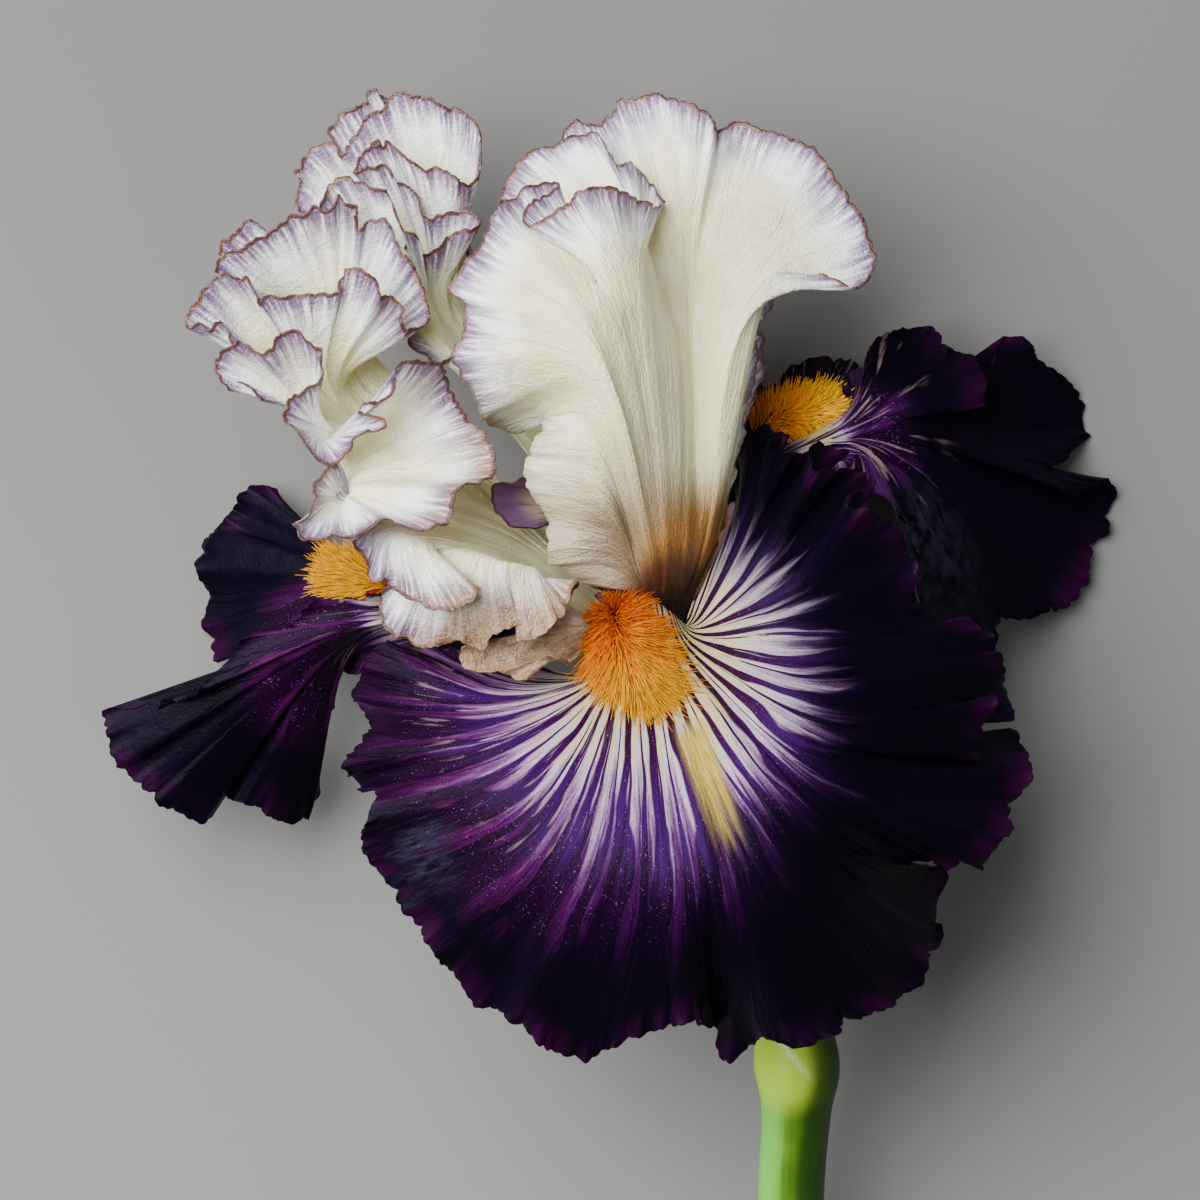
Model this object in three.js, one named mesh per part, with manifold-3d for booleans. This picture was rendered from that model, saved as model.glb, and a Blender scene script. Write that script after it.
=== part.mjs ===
// A bearded iris flower on its cut stem, lying on its back: six petals, three beards, three style arms,
// three stamens and the stem. Millimetres, +Z up, +Y toward the top of the bloom.
import * as THREE from "three";
import { mergeVertices } from "three/addons/utils/BufferGeometryUtils.js";
import Module from "manifold-3d";

const wasm = await Module();
wasm.setup();

// ---------------------------------------------------------------- frame
// Outlines are drawn as [right, down, depth]. Right and down are drawing units counted from the top
// left corner, depth is in mm toward the viewer, and the viewer's eye hangs over the drawing's centre.
const BLOOM_SPAN = 152; // mm, left tip to right tip
const BLOOM_SPAN_DRAWN = 1013; // drawing units
const UNIT = BLOOM_SPAN / BLOOM_SPAN_DRAWN;
const DRAWING_CENTRE = 600;
const EYE_HEIGHT = 900; // mm over depth 0

function place([right, down, depth]) {
  const scale = UNIT * (1 - depth / EYE_HEIGHT);
  return new THREE.Vector3(
    (right - DRAWING_CENTRE) * scale,
    (DRAWING_CENTRE - down) * scale,
    depth,
  );
}

// ---------------------------------------------------------------- sizes
const GAP = 0.3; // mm, clearance between neighbouring pieces
const BLADE_ROOT_THICKNESS = 0.9;
const BLADE_RIM_THICKNESS = 0.65;
const RIM_TOLERANCE = 0.3; // mm, how far a left-out rim point may lie from the rim that is built
const TUBE_RADIUS = 5.6; // perianth tube, at its top
const CLAW_CIRCLE = 4.9; // radius of the circle on which the petals stand on the tube
const FOOT_RISE = 0.6; // a petal's foot over the tube's end
const CLAW_HALF_ANGLE = 22; // degrees of that circle that half a petal's foot takes
const TUBE_TOP = place([655, 650, -6]);

// ---------------------------------------------------------------- petals
// Every petal is a fan. Its rim is a run of points. Each spoke names the rim point it ends at, then the
// points it passes on its way out from the tube: claw, low and mid blade.

const FALL_FRONT = {
  angle: 0,
  turn: 1,
  rim: [
    [560, 672, 5], [500, 668, 6], [440, 655, 6], [385, 641, 6],
    [366, 655, 6], [358, 680, 4], [350, 693, 2], [357, 706, 4], [366, 719, 8], [362, 736, 12],
    [346, 752, 14], [341, 767, 13], [350, 779, 11], [357, 792, 13], [374, 796, 18], [368, 812, 20],
    [361, 832, 18], [361, 852, 15], [375, 872, 15], [401, 908, 16], [429, 946, 18], [453, 981, 16],
    [479, 1006, 14], [506, 1015, 17], [519, 1031, 18], [552, 1051, 15], [584, 1061, 13],
    [612, 1048, 16], [652, 1033, 19], [688, 1019, 22], [706, 1028, 18], [719, 1030, 12],
    [724, 1048, 9], [736, 1057, 10], [754, 1047, 14], [762, 1038, 18], [795, 1045, 20],
    [824, 1037, 18], [848, 1025, 15], [888, 1011, 12], [903, 999, 9], [920, 982, 6],
    [925, 960, 4], [940, 946, 0], [931, 929, -2], [938, 912, -4], [938, 895, -4], [943, 879, -5],
    [927, 870, -2], [908, 874, 1], [895, 880, 5], [910, 862, 8], [920, 857, 9], [938, 859, 10],
    [953, 869, 11], [970, 860, 11], [984, 873, 12], [1000, 846, 11], [1013, 833, 8], [1012, 809, 6],
    [1024, 788, 4], [1027, 767, 2], [1022, 747, -1], [1013, 728, -3], [1000, 740, 0],
    [985, 765, 6], [982, 753, 9], [986, 736, 9], [993, 719, 9], [998, 698, 8], [1012, 724, 4],
    [1016, 709, 2], [1013, 685, 2], [1004, 654, 3], [997, 650, 3], [989, 637, 3], [975, 623, 4],
    [961, 620, 5], [953, 631, 6], [944, 641, 7], [933, 634, 8], [919, 603, 8], [916, 569, 7],
    [910, 547, 5], [902, 527, 5], [880, 513, 7], [857, 508, 8], [847, 500, 7], [849, 493, 4],
    [866, 489, 1], [880, 489, 0], [871, 480, -2], [852, 468, -2], [837, 467, 2], [823, 468, 5],
    [812, 466, 5], [815, 455, 2], [820, 440, -1], [832, 446, -4], [846, 453, -5], [808, 449, -3],
    [793, 453, 1], [773, 451, 2], [767, 438, 0], [790, 437, -4], [775, 425, -4], [764, 423, -4],
    [756, 429, -3], [748, 436, -3], [746, 465, -3], [743, 490, -2], [739, 515, 0], [726, 552, 3],
    [708, 585, 5], [692, 603, 6],
  ],
  spokes: [
    { rim: [560, 672], claw: [619, 636, 4], low: [608, 670, 6], mid: [587, 674, 5] },
    { rim: [385, 641], claw: [616, 628, 6], low: [596, 676, 11], mid: [500, 690, 11] },
    { rim: [341, 767], claw: [616, 621, 7], low: [596, 684, 16], mid: [492, 740, 23] },
    { rim: [361, 852], claw: [618, 615, 8], low: [602, 692, 19], mid: [512, 790, 28] },
    { rim: [453, 981], claw: [624, 609, 9], low: [613, 698, 21], mid: [560, 850, 31] },
    { rim: [584, 1061], claw: [634, 605, 10], low: [632, 704, 22], mid: [625, 880, 33] },
    { rim: [688, 1019], claw: [644, 603, 10], low: [655, 702, 22], mid: [684, 885, 34] },
    { rim: [795, 1045], claw: [653, 604, 10], low: [672, 692, 22], mid: [740, 875, 33] },
    { rim: [940, 946], claw: [660, 606, 10], low: [685, 676, 21], mid: [795, 830, 30] },
    { rim: [1000, 846], claw: [666, 610, 9], low: [694, 662, 19], mid: [820, 780, 27] },
    { rim: [1004, 654], claw: [671, 615, 8], low: [701, 648, 17], mid: [828, 690, 24] },
    { rim: [916, 569], claw: [675, 620, 7], low: [704, 634, 14], mid: [808, 610, 18] },
    { rim: [812, 466], claw: [678, 626, 6], low: [704, 622, 11], mid: [765, 550, 12] },
    { rim: [748, 436], claw: [679, 631, 5], low: [701, 614, 9], mid: [736, 528, 6] },
    { rim: [692, 603], claw: [678, 636, 4], low: [686, 622, 7], mid: [690, 612, 7] },
  ],
};

const STANDARD_RIGHT = {
  angle: 60,
  turn: 1,
  rim: [
    [583, 584, 10], [576, 575, 11], [563, 571, 12], [549, 557, 13], [550, 545, 14], [545, 527, 14],
    [539, 507, 14], [534, 498, 14], [527, 480, 14], [522, 463, 15], [528, 453, 16], [534, 440, 16],
    [543, 427, 14], [540, 414, 10], [525, 429, 4], [517, 433, 2], [494, 428, 1], [482, 419, 5],
    [478, 412, 10], [469, 391, 13], [460, 372, 15], [454, 354, 16], [460, 335, 17], [463, 311, 17],
    [460, 299, 17], [448, 288, 16], [460, 271, 16], [472, 253, 16], [481, 231, 16], [493, 210, 15],
    [503, 198, 13], [512, 195, 12], [521, 187, 11], [542, 182, 9], [556, 181, 8], [556, 188, 9],
    [536, 198, 12], [523, 210, 15], [523, 225, 18], [533, 222, 20], [552, 210, 21], [570, 198, 21],
    [579, 189, 20], [604, 186, 18], [619, 192, 16], [634, 199, 13], [656, 207, 8], [657, 200, 5],
    [656, 189, 2], [643, 173, 0], [634, 158, 0], [619, 164, 2], [612, 158, 1], [600, 136, -1],
    [591, 130, -2], [570, 132, -3], [555, 143, -3], [533, 146, -3], [515, 164, -3],
    [503, 182, -2], [497, 203, 0], [520, 190, -8], [567, 126, -9], [582, 121, -9],
    [600, 121, -8], [616, 109, -7], [617, 98, -7], [634, 98, -7], [656, 91, -6], [674, 97, -5],
    [695, 103, -4], [708, 110, -4], [717, 124, -3], [721, 129, -6], [735, 121, -8],
    [757, 126, -8], [787, 135, -7], [815, 147, -6], [827, 161, -5], [839, 179, -4],
    [852, 201, -3], [864, 216, -2], [871, 237, -1], [878, 259, 0], [870, 277, 2], [859, 288, 3],
    [842, 282, 3], [818, 271, 3], [803, 267, 2], [789, 268, 1], [786, 280, 0], [772, 305, 0],
    [763, 320, 1], [755, 345, 1], [748, 380, 1], [744, 427, 2], [737, 458, 3], [731, 489, 4],
    [727, 516, 4], [710, 554, 3], [694, 584, 1],
  ],
  spokes: [
    { rim: [583, 584], claw: [657, 620, 1], low: [641, 594, 8], mid: [612, 588, 11] },
    { rim: [534, 498], claw: [657, 617, 2], low: [637, 572, 13], mid: [606, 515, 21] },
    { rim: [543, 427], claw: [657, 615, 2], low: [640, 563, 15], mid: [596, 440, 23] },
    { rim: [494, 428], claw: [658, 614, 2], low: [645, 556, 16], mid: [588, 402, 25] },
    { rim: [463, 311], claw: [658, 613, 2], low: [651, 550, 17], mid: [592, 360, 29] },
    { rim: [542, 182], claw: [660, 613, 2], low: [658, 544, 17], mid: [600, 318, 27] },
    { rim: [656, 207], claw: [662, 613, 2], low: [666, 540, 17], mid: [640, 292, 21] },
    { rim: [600, 136], claw: [664, 613, 2], low: [674, 536, 16], mid: [655, 285, 15] },
    { rim: [520, 190], claw: [667, 613, 1], low: [681, 534, 15], mid: [660, 283, 10] },
    { rim: [656, 91], claw: [670, 613, 1], low: [688, 532, 14], mid: [682, 272, 5] },
    { rim: [721, 129], claw: [672, 614, 0], low: [695, 531, 12], mid: [697, 280, 4] },
    { rim: [787, 135], claw: [674, 615, 0], low: [701, 531, 11], mid: [718, 290, 6] },
    { rim: [878, 259], claw: [676, 616, -1], low: [706, 531, 10], mid: [744, 322, 9] },
    { rim: [859, 288], claw: [677, 617, -1], low: [709, 532, 10], mid: [752, 315, 8] },
    { rim: [803, 267], claw: [678, 618, -2], low: [712, 533, 9], mid: [762, 298, 6] },
    { rim: [786, 280], claw: [679, 619, -2], low: [714, 534, 8], mid: [763, 303, 4] },
    { rim: [763, 320], claw: [680, 620, -3], low: [715, 536, 7], mid: [752, 345, 4] },
    { rim: [748, 380], claw: [680, 621, -3], low: [715, 540, 6], mid: [741, 400, 4] },
    { rim: [737, 458], claw: [680, 622, -4], low: [713, 546, 5], mid: [729, 480, 5] },
    { rim: [694, 584], claw: [680, 625, -4], low: [687, 602, -1], mid: [690, 594, 0] },
  ],
};

const STANDARD_LEFT = {
  angle: -60,
  turn: -1,
  rim: [
    [567, 666, 13], [557, 650, 14], [540, 655, 14], [521, 680, 14], [502, 673, 14], [476, 673, 14],
    [458, 662, 14], [466, 642, 14], [510, 634, 14], [555, 612, 14], [581, 584, 16], [570, 600, 17],
    [565, 616, 18], [556, 627, 18], [543, 638, 18], [529, 643, 18], [520, 641, 17], [518, 632, 17],
    [520, 625, 17], [504, 632, 18], [493, 638, 18], [486, 645, 18], [479, 654, 17], [465, 645, 17],
    [454, 645, 17], [440, 648, 17], [417, 650, 16], [404, 640, 16], [393, 639, 16], [384, 632, 15],
    [379, 623, 15], [378, 607, 15], [388, 591, 16], [430, 590, 18], [468, 588, 20], [480, 593, 22],
    [475, 602, 23], [465, 607, 23], [447, 613, 22], [433, 612, 22], [417, 603, 22], [401, 595, 22],
    [390, 589, 21], [385, 583, 21], [374, 585, 21], [367, 580, 20], [367, 570, 20], [363, 559, 20],
    [353, 550, 19], [352, 541, 19], [355, 533, 17], [340, 515, 15], [330, 490, 14], [333, 470, 15],
    [326, 464, 17], [318, 473, 19], [312, 486, 20], [309, 500, 21], [307, 511, 22], [298, 520, 23],
    [289, 527, 24], [300, 538, 25], [323, 541, 26], [351, 539, 26], [362, 530, 26], [369, 526, 26],
    [380, 521, 26], [391, 521, 26], [398, 526, 26], [421, 531, 26], [437, 526, 26], [450, 518, 25],
    [455, 502, 25], [460, 493, 25], [469, 486, 24], [482, 483, 23], [497, 476, 20], [498, 461, 18],
    [497, 450, 17], [491, 440, 16], [485, 430, 14], [473, 421, 12], [465, 410, 10], [460, 400, 8],
    [454, 388, 7], [448, 374, 8], [441, 362, 11], [428, 363, 13], [416, 360, 15], [401, 362, 16],
    [393, 368, 16], [393, 379, 16], [388, 387, 16], [376, 398, 16], [364, 401, 15], [359, 409, 15],
    [377, 415, 16], [384, 421, 17], [378, 427, 18], [368, 427, 18], [362, 434, 18],
    [358, 444, 18], [348, 452, 17], [343, 460, 17], [331, 462, 17], [318, 457, 17], [304, 446, 17],
    [295, 434, 17], [284, 425, 16], [282, 415, 16], [287, 403, 17], [295, 394, 18], [304, 388, 19],
    [314, 383, 20], [322, 373, 21], [323, 360, 21], [321, 348, 21], [312, 336, 20], [302, 327, 20],
    [291, 326, 20], [280, 329, 19], [272, 337, 19], [266, 346, 19], [258, 351, 19], [249, 346, 18],
    [237, 337, 18], [228, 340, 18], [218, 352, 17], [213, 362, 17], [214, 371, 17], [221, 383, 17],
    [232, 387, 16], [247, 393, 16], [262, 398, 15], [250, 378, 14], [238, 350, 14], [226, 331, 13],
    [221, 323, 12], [212, 322, 13], [209, 328, 13], [199, 321, 13], [188, 326, 12], [185, 318, 12],
    [190, 308, 12], [197, 297, 12], [205, 285, 12], [214, 276, 12], [226, 272, 13], [231, 277, 13],
    [243, 278, 13], [246, 287, 13], [255, 295, 13], [256, 303, 13], [266, 297, 13], [283, 297, 13],
    [314, 295, 13], [325, 292, 13], [337, 290, 13], [340, 279, 13], [344, 271, 14], [352, 266, 14],
    [362, 267, 14], [371, 272, 14], [378, 279, 14], [380, 289, 14], [383, 297, 14], [392, 298, 13],
    [398, 304, 12], [399, 316, 12], [405, 326, 11], [411, 335, 10], [425, 327, 8], [431, 314, 8],
    [430, 299, 8], [426, 283, 8], [417, 268, 8], [410, 256, 9], [402, 250, 9], [396, 237, 9],
    [390, 224, 9], [384, 214, 9], [377, 219, 9], [368, 221, 9], [362, 227, 9], [356, 226, 9],
    [356, 219, 8], [361, 210, 7], [356, 203, 7], [346, 201, 8], [339, 193, 8], [331, 204, 8],
    [325, 209, 8], [314, 204, 8], [302, 212, 8], [293, 212, 8], [279, 221, 8], [264, 233, 7],
    [251, 237, 7], [241, 247, 7], [226, 254, 6], [214, 262, 5], [215, 269, 3], [222, 262, 1],
    [218, 256, 0], [216, 251, 0], [220, 239, 0], [232, 232, 1], [237, 226, 1], [247, 219, 1],
    [254, 223, 0], [262, 232, -1], [300, 260, -2],
  ],
  spokes: [
    { rim: [567, 666], claw: [626, 640, -1], low: [592, 648, 8], mid: [578, 657, 12] },
    { rim: [521, 680], claw: [624, 637, 0], low: [588, 640, 9], mid: [554, 655, 13] },
    { rim: [466, 642], claw: [622, 634, 0], low: [583, 630, 10], mid: [540, 640, 12] },
    { rim: [581, 584], claw: [620, 631, 0], low: [574, 614, 11], mid: [548, 584, 14] },
    { rim: [520, 625], claw: [618, 629, 0], low: [560, 600, 10], mid: [502, 565, 18] },
    { rim: [417, 650], claw: [616, 627, 0], low: [546, 588, 9], mid: [455, 551, 19] },
    { rim: [388, 591], claw: [615, 625, 0], low: [539, 580, 8], mid: [440, 549, 18] },
    { rim: [468, 588], claw: [614, 623, 0], low: [534, 574, 8], mid: [436, 546, 19] },
    { rim: [401, 595], claw: [613, 621, 0], low: [528, 567, 7], mid: [410, 534, 20] },
    { rim: [352, 541], claw: [612, 619, -1], low: [520, 558, 6], mid: [388, 524, 17] },
    { rim: [326, 464], claw: [611, 617, -1], low: [514, 549, 5], mid: [362, 505, 12] },
    { rim: [323, 541], claw: [610, 615, -1], low: [508, 541, 4], mid: [354, 500, 14] },
    { rim: [421, 531], claw: [610, 614, -1], low: [503, 534, 3], mid: [352, 494, 15] },
    { rim: [497, 476], claw: [609, 612, -2], low: [499, 528, 3], mid: [350, 487, 14] },
    { rim: [448, 374], claw: [608, 611, -2], low: [496, 522, 2], mid: [348, 478, 11] },
    { rim: [393, 379], claw: [607, 610, -2], low: [493, 517, 2], mid: [344, 465, 10] },
    { rim: [359, 409], claw: [607, 609, -2], low: [491, 512, 2], mid: [340, 452, 10] },
    { rim: [304, 446], claw: [606, 608, -2], low: [489, 507, 1], mid: [336, 440, 10] },
    { rim: [322, 373], claw: [606, 607, -2], low: [487, 503, 1], mid: [335, 430, 11] },
    { rim: [213, 362], claw: [605, 606, -2], low: [485, 499, 1], mid: [334, 423, 11] },
    { rim: [238, 350], claw: [605, 605, -3], low: [484, 495, 0], mid: [335, 416, 8] },
    { rim: [214, 276], claw: [604, 604, -3], low: [483, 491, 0], mid: [336, 408, 4] },
    { rim: [340, 279], claw: [604, 603, -3], low: [482, 487, 0], mid: [338, 400, 4] },
    { rim: [411, 335], claw: [603, 602, -4], low: [482, 483, -1], mid: [346, 391, 2] },
    { rim: [396, 237], claw: [603, 601, -4], low: [482, 479, -1], mid: [352, 378, 0] },
    { rim: [293, 212], claw: [602, 600, -5], low: [482, 475, -2], mid: [354, 362, -1] },
    { rim: [215, 269], claw: [602, 599, -5], low: [482, 471, -2], mid: [354, 350, -3] },
    { rim: [300, 260], claw: [602, 598, -6], low: [483, 467, -3], mid: [358, 340, -5] },
  ],
};

const STANDARD_REAR = {
  angle: 180,
  turn: 1,
  rim: [
    [702, 566, -15], [726, 480, -14], [745, 430, -13], [758, 388, -12], [767, 368, -12],
    [763, 351, -12], [761, 329, -13], [700, 300, -15], [600, 290, -16], [520, 300, -16],
    [480, 300, -16], [466, 240, -17],
    [440, 200, -18], [380, 225, -18], [307, 212, -17], [298, 209, -16], [294, 199, -16],
    [296, 189, -16], [298, 179, -16], [293, 172, -16], [298, 167, -16], [301, 157, -16],
    [308, 150, -16], [315, 144, -16], [330, 139, -16], [385, 100, -16], [382, 92, -15],
    [378, 87, -14], [371, 88, -14], [366, 90, -14], [367, 101, -14], [359, 102, -14],
    [350, 108, -14], [339, 111, -14], [336, 119, -14], [326, 129, -14], [330, 141, -13],
    [339, 153, -12], [347, 143, -11], [353, 133, -11], [359, 127, -11], [364, 117, -11],
    [375, 109, -11], [384, 106, -11], [391, 92, -10], [409, 92, -9], [429, 95, -9], [436, 99, -9],
    [448, 106, -9], [453, 104, -9], [461, 109, -9], [471, 117, -9], [478, 126, -9], [481, 134, -9],
    [478, 144, -9], [481, 151, -9], [479, 161, -9], [477, 169, -9], [469, 182, -8], [461, 179, -6],
    [454, 173, -6], [446, 168, -6], [436, 164, -6], [427, 166, -6], [417, 161, -6], [402, 150, -6],
    [389, 140, -6], [384, 139, -6], [381, 144, -6], [378, 137, -6], [375, 143, -6], [368, 144, -6],
    [356, 158, -6], [352, 171, -5], [359, 168, -4], [367, 163, -4], [375, 166, -4], [381, 162, -4],
    [387, 167, -4], [391, 179, -4], [403, 183, -4], [410, 188, -4], [415, 196, -4], [417, 204, -4],
    [422, 211, -4], [427, 217, -4], [433, 216, -4], [441, 211, -4], [455, 209, -4], [468, 211, -3],
    [475, 221, -2], [462, 228, -1], [450, 234, -1], [441, 240, -1], [431, 248, -1], [422, 254, -1],
    [408, 252, 0], [402, 246, 2], [415, 240, 4], [420, 235, 4], [415, 230, 4], [406, 227, 4],
    [399, 216, 4], [395, 206, 4], [392, 195, 4], [387, 186, 4], [380, 187, 4], [367, 183, 4],
    [361, 179, 4], [353, 179, 4], [349, 174, 4], [337, 175, 4], [326, 186, 4], [323, 195, 4],
    [318, 206, 4], [340, 260, 2], [395, 310, -1], [405, 338, 0], [410, 348, 0], [419, 356, 0],
    [429, 363, 0], [438, 363, -1], [446, 358, -2], [451, 350, -4], [458, 352, -6], [468, 366, -8],
    [522, 434, -11], [582, 521, -13],
  ],
  spokes: [
    { rim: [702, 566], claw: [674, 620, -14], low: [684, 600, -15], mid: [694, 582, -15] },
    { rim: [758, 388], claw: [668, 612, -15], low: [671, 548, -18], mid: [704, 470, -16] },
    { rim: [600, 290], claw: [664, 608, -16], low: [655, 530, -20], mid: [610, 410, -19] },
    { rim: [466, 240], claw: [660, 606, -16], low: [642, 522, -20], mid: [540, 370, -20] },
    { rim: [298, 179], claw: [656, 604, -16], low: [632, 516, -20], mid: [478, 340, -19] },
    { rim: [350, 108], claw: [652, 603, -16], low: [624, 512, -19], mid: [470, 325, -17] },
    { rim: [429, 95], claw: [649, 602, -16], low: [617, 508, -18], mid: [466, 315, -14] },
    { rim: [469, 182], claw: [646, 602, -16], low: [611, 505, -17], mid: [463, 312, -12] },
    { rim: [384, 139], claw: [643, 602, -15], low: [606, 503, -16], mid: [459, 314, -10] },
    { rim: [391, 179], claw: [640, 603, -15], low: [601, 502, -15], mid: [455, 318, -9] },
    { rim: [468, 211], claw: [638, 604, -14], low: [597, 502, -14], mid: [452, 322, -8] },
    { rim: [422, 254], claw: [636, 605, -14], low: [593, 503, -13], mid: [448, 328, -7] },
    { rim: [395, 206], claw: [634, 607, -13], low: [590, 504, -13], mid: [446, 332, -4] },
    { rim: [318, 206], claw: [633, 609, -13], low: [586, 509, -12], mid: [444, 346, -2] },
    { rim: [405, 338], claw: [632, 611, -12], low: [585, 514, -13], mid: [456, 370, -4] },
    { rim: [451, 350], claw: [632, 613, -12], low: [588, 524, -14], mid: [484, 398, -9] },
    { rim: [582, 521], claw: [632, 616, -12], low: [604, 552, -14], mid: [595, 538, -13] },
  ],
};

const FALL_RIGHT = {
  angle: 120,
  turn: -1,
  rim: [
    [748, 404, -25], [757, 383, -27], [779, 381, -28], [793, 367, -29], [812, 359, -30],
    [837, 354, -30], [851, 360, -29], [861, 368, -27], [862, 385, -24], [852, 392, -20],
    [847, 381, -17], [853, 370, -18], [866, 360, -19], [868, 349, -20], [882, 334, -21],
    [902, 326, -22], [930, 326, -23], [941, 334, -23], [958, 350, -22], [975, 352, -22],
    [983, 364, -21], [988, 381, -20], [986, 408, -19], [990, 372, -26], [997, 356, -27],
    [1003, 339, -28], [1011, 336, -29], [1028, 339, -30], [1034, 349, -31], [1048, 364, -33],
    [1065, 377, -35], [1079, 390, -37], [1089, 407, -38], [1087, 426, -38], [1092, 433, -38],
    [1084, 443, -36], [1070, 457, -32], [1055, 468, -28], [1067, 489, -27], [1093, 487, -32],
    [1112, 482, -36], [1117, 496, -38], [1111, 516, -37], [1107, 536, -37], [1093, 550, -36],
    [1091, 572, -36], [1083, 592, -36], [1068, 610, -35], [1056, 609, -33], [1040, 617, -31],
    [1023, 621, -28], [1009, 618, -25], [1003, 628, -24], [1002, 640, -23], [997, 648, -21],
    [960, 640, -16], [936, 635, -12], [922, 581, -10], [919, 547, -9], [900, 510, -9],
    [870, 480, -10], [853, 466, -11], [832, 482, -12], [800, 502, -13], [772, 520, -13],
    [750, 540, -13],
  ],
  spokes: [
    { rim: [748, 404], claw: [684, 622, -14], low: [712, 500, -22], mid: [742, 440, -23] },
    { rim: [793, 367], claw: [687, 620, -14], low: [716, 496, -22], mid: [785, 412, -23] },
    { rim: [861, 368], claw: [690, 618, -13], low: [720, 493, -21], mid: [828, 404, -21] },
    { rim: [847, 381], claw: [692, 618, -13], low: [724, 492, -20], mid: [838, 412, -19] },
    { rim: [902, 326], claw: [694, 618, -12], low: [728, 492, -19], mid: [850, 418, -16] },
    { rim: [986, 408], claw: [696, 619, -12], low: [731, 493, -18], mid: [862, 428, -15] },
    { rim: [1048, 364], claw: [697, 620, -12], low: [734, 495, -18], mid: [868, 432, -14] },
    { rim: [1112, 482], claw: [698, 622, -11], low: [737, 498, -17], mid: [872, 438, -14] },
    { rim: [1023, 621], claw: [698, 624, -11], low: [740, 502, -17], mid: [868, 446, -13] },
    { rim: [922, 581], claw: [698, 626, -11], low: [742, 507, -16], mid: [858, 452, -13] },
    { rim: [853, 466], claw: [698, 628, -10], low: [742, 511, -16], mid: [838, 460, -14] },
    { rim: [800, 502], claw: [697, 630, -10], low: [741, 518, -16], mid: [788, 492, -16] },
    { rim: [750, 540], claw: [695, 632, -10], low: [731, 544, -15], mid: [742, 534, -15] },
  ],
};

const FALL_LEFT = {
  angle: -120,
  turn: 1,
  rim: [
    [520, 560, -24], [378, 545, -28], [348, 550, -30], [316, 544, -32], [292, 520, -33],
    [275, 499, -34], [265, 490, -35], [254, 487, -36], [241, 495, -37], [234, 510, -38],
    [222, 523, -38], [211, 524, -38], [202, 534, -38], [194, 555, -38], [194, 571, -38],
    [203, 590, -38], [205, 603, -38], [199, 617, -37], [200, 627, -37], [207, 641, -36],
    [210, 660, -35], [218, 664, -34], [240, 655, -31], [290, 632, -25], [340, 608, -19],
    [372, 598, -16], [359, 611, -12], [337, 601, -10], [318, 598, -10], [302, 606, -10],
    [296, 617, -11], [286, 633, -11], [270, 644, -11], [257, 635, -10], [241, 640, -10],
    [233, 649, -10], [231, 660, -10], [209, 678, -11], [190, 697, -11], [163, 702, -14],
    [154, 709, -16], [101, 711, -19], [104, 724, -19], [108, 748, -19], [115, 769, -19],
    [125, 773, -20], [142, 791, -20], [154, 795, -20], [155, 803, -20], [171, 812, -21],
    [195, 824, -23], [209, 815, -25], [211, 802, -25], [225, 798, -24], [241, 806, -23],
    [254, 806, -23], [267, 818, -24], [289, 824, -26], [300, 818, -27], [310, 819, -28],
    [312, 783, -28], [316, 748, -27], [326, 708, -25], [337, 673, -22], [355, 672, -20],
    [377, 655, -18], [470, 650, -18],
  ],
  spokes: [
    { rim: [520, 560], claw: [628, 628, -14], low: [590, 600, -20], mid: [555, 582, -22] },
    { rim: [316, 544], claw: [622, 626, -15], low: [520, 590, -23], mid: [400, 572, -23] },
    { rim: [241, 495], claw: [619, 627, -15], low: [505, 593, -22], mid: [375, 574, -22] },
    { rim: [199, 617], claw: [617, 629, -15], low: [495, 597, -21], mid: [370, 582, -20] },
    { rim: [290, 632], claw: [615, 631, -14], low: [488, 602, -20], mid: [375, 590, -17] },
    { rim: [337, 601], claw: [614, 633, -14], low: [484, 607, -19], mid: [378, 603, -12] },
    { rim: [270, 644], claw: [613, 635, -14], low: [480, 611, -18], mid: [368, 616, -9] },
    { rim: [190, 697], claw: [613, 637, -13], low: [478, 615, -17], mid: [352, 627, -8] },
    { rim: [125, 773], claw: [613, 639, -13], low: [478, 619, -17], mid: [345, 634, -9] },
    { rim: [209, 815], claw: [614, 641, -12], low: [480, 623, -16], mid: [348, 640, -11] },
    { rim: [310, 819], claw: [615, 643, -12], low: [484, 627, -16], mid: [356, 644, -14] },
    { rim: [377, 655], claw: [617, 645, -11], low: [500, 634, -16], mid: [400, 646, -16] },
    { rim: [470, 650], claw: [622, 648, -10], low: [560, 642, -15], mid: [500, 646, -17] },
  ],
};

// ---------------------------------------------------------------- style arms
const STYLE_CIRCLE = 1.9;

const STYLE_FRONT = {
  angle: 0,
  turn: 1,
  footCircle: STYLE_CIRCLE,
  rim: [
    [622, 606, 3], [608, 603, 4], [594, 596, 4], [602, 590, 4], [588, 582, 4], [600, 578, 4],
    [596, 566, 4], [612, 572, 5], [618, 560, 5], [628, 570, 5], [640, 566, 5], [642, 582, 4],
    [648, 600, 2],
  ],
  spokes: [
    { rim: [622, 606], claw: [642, 632, -2], low: [634, 618, 0], mid: [629, 613, 2] },
    { rim: [596, 566], claw: [644, 628, -2], low: [632, 606, 1], mid: [618, 590, 3] },
    { rim: [640, 566], claw: [647, 628, -2], low: [641, 604, 1], mid: [636, 588, 3] },
    { rim: [648, 600], claw: [649, 632, -2], low: [648, 616, 0], mid: [648, 608, 1] },
  ],
};

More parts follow.
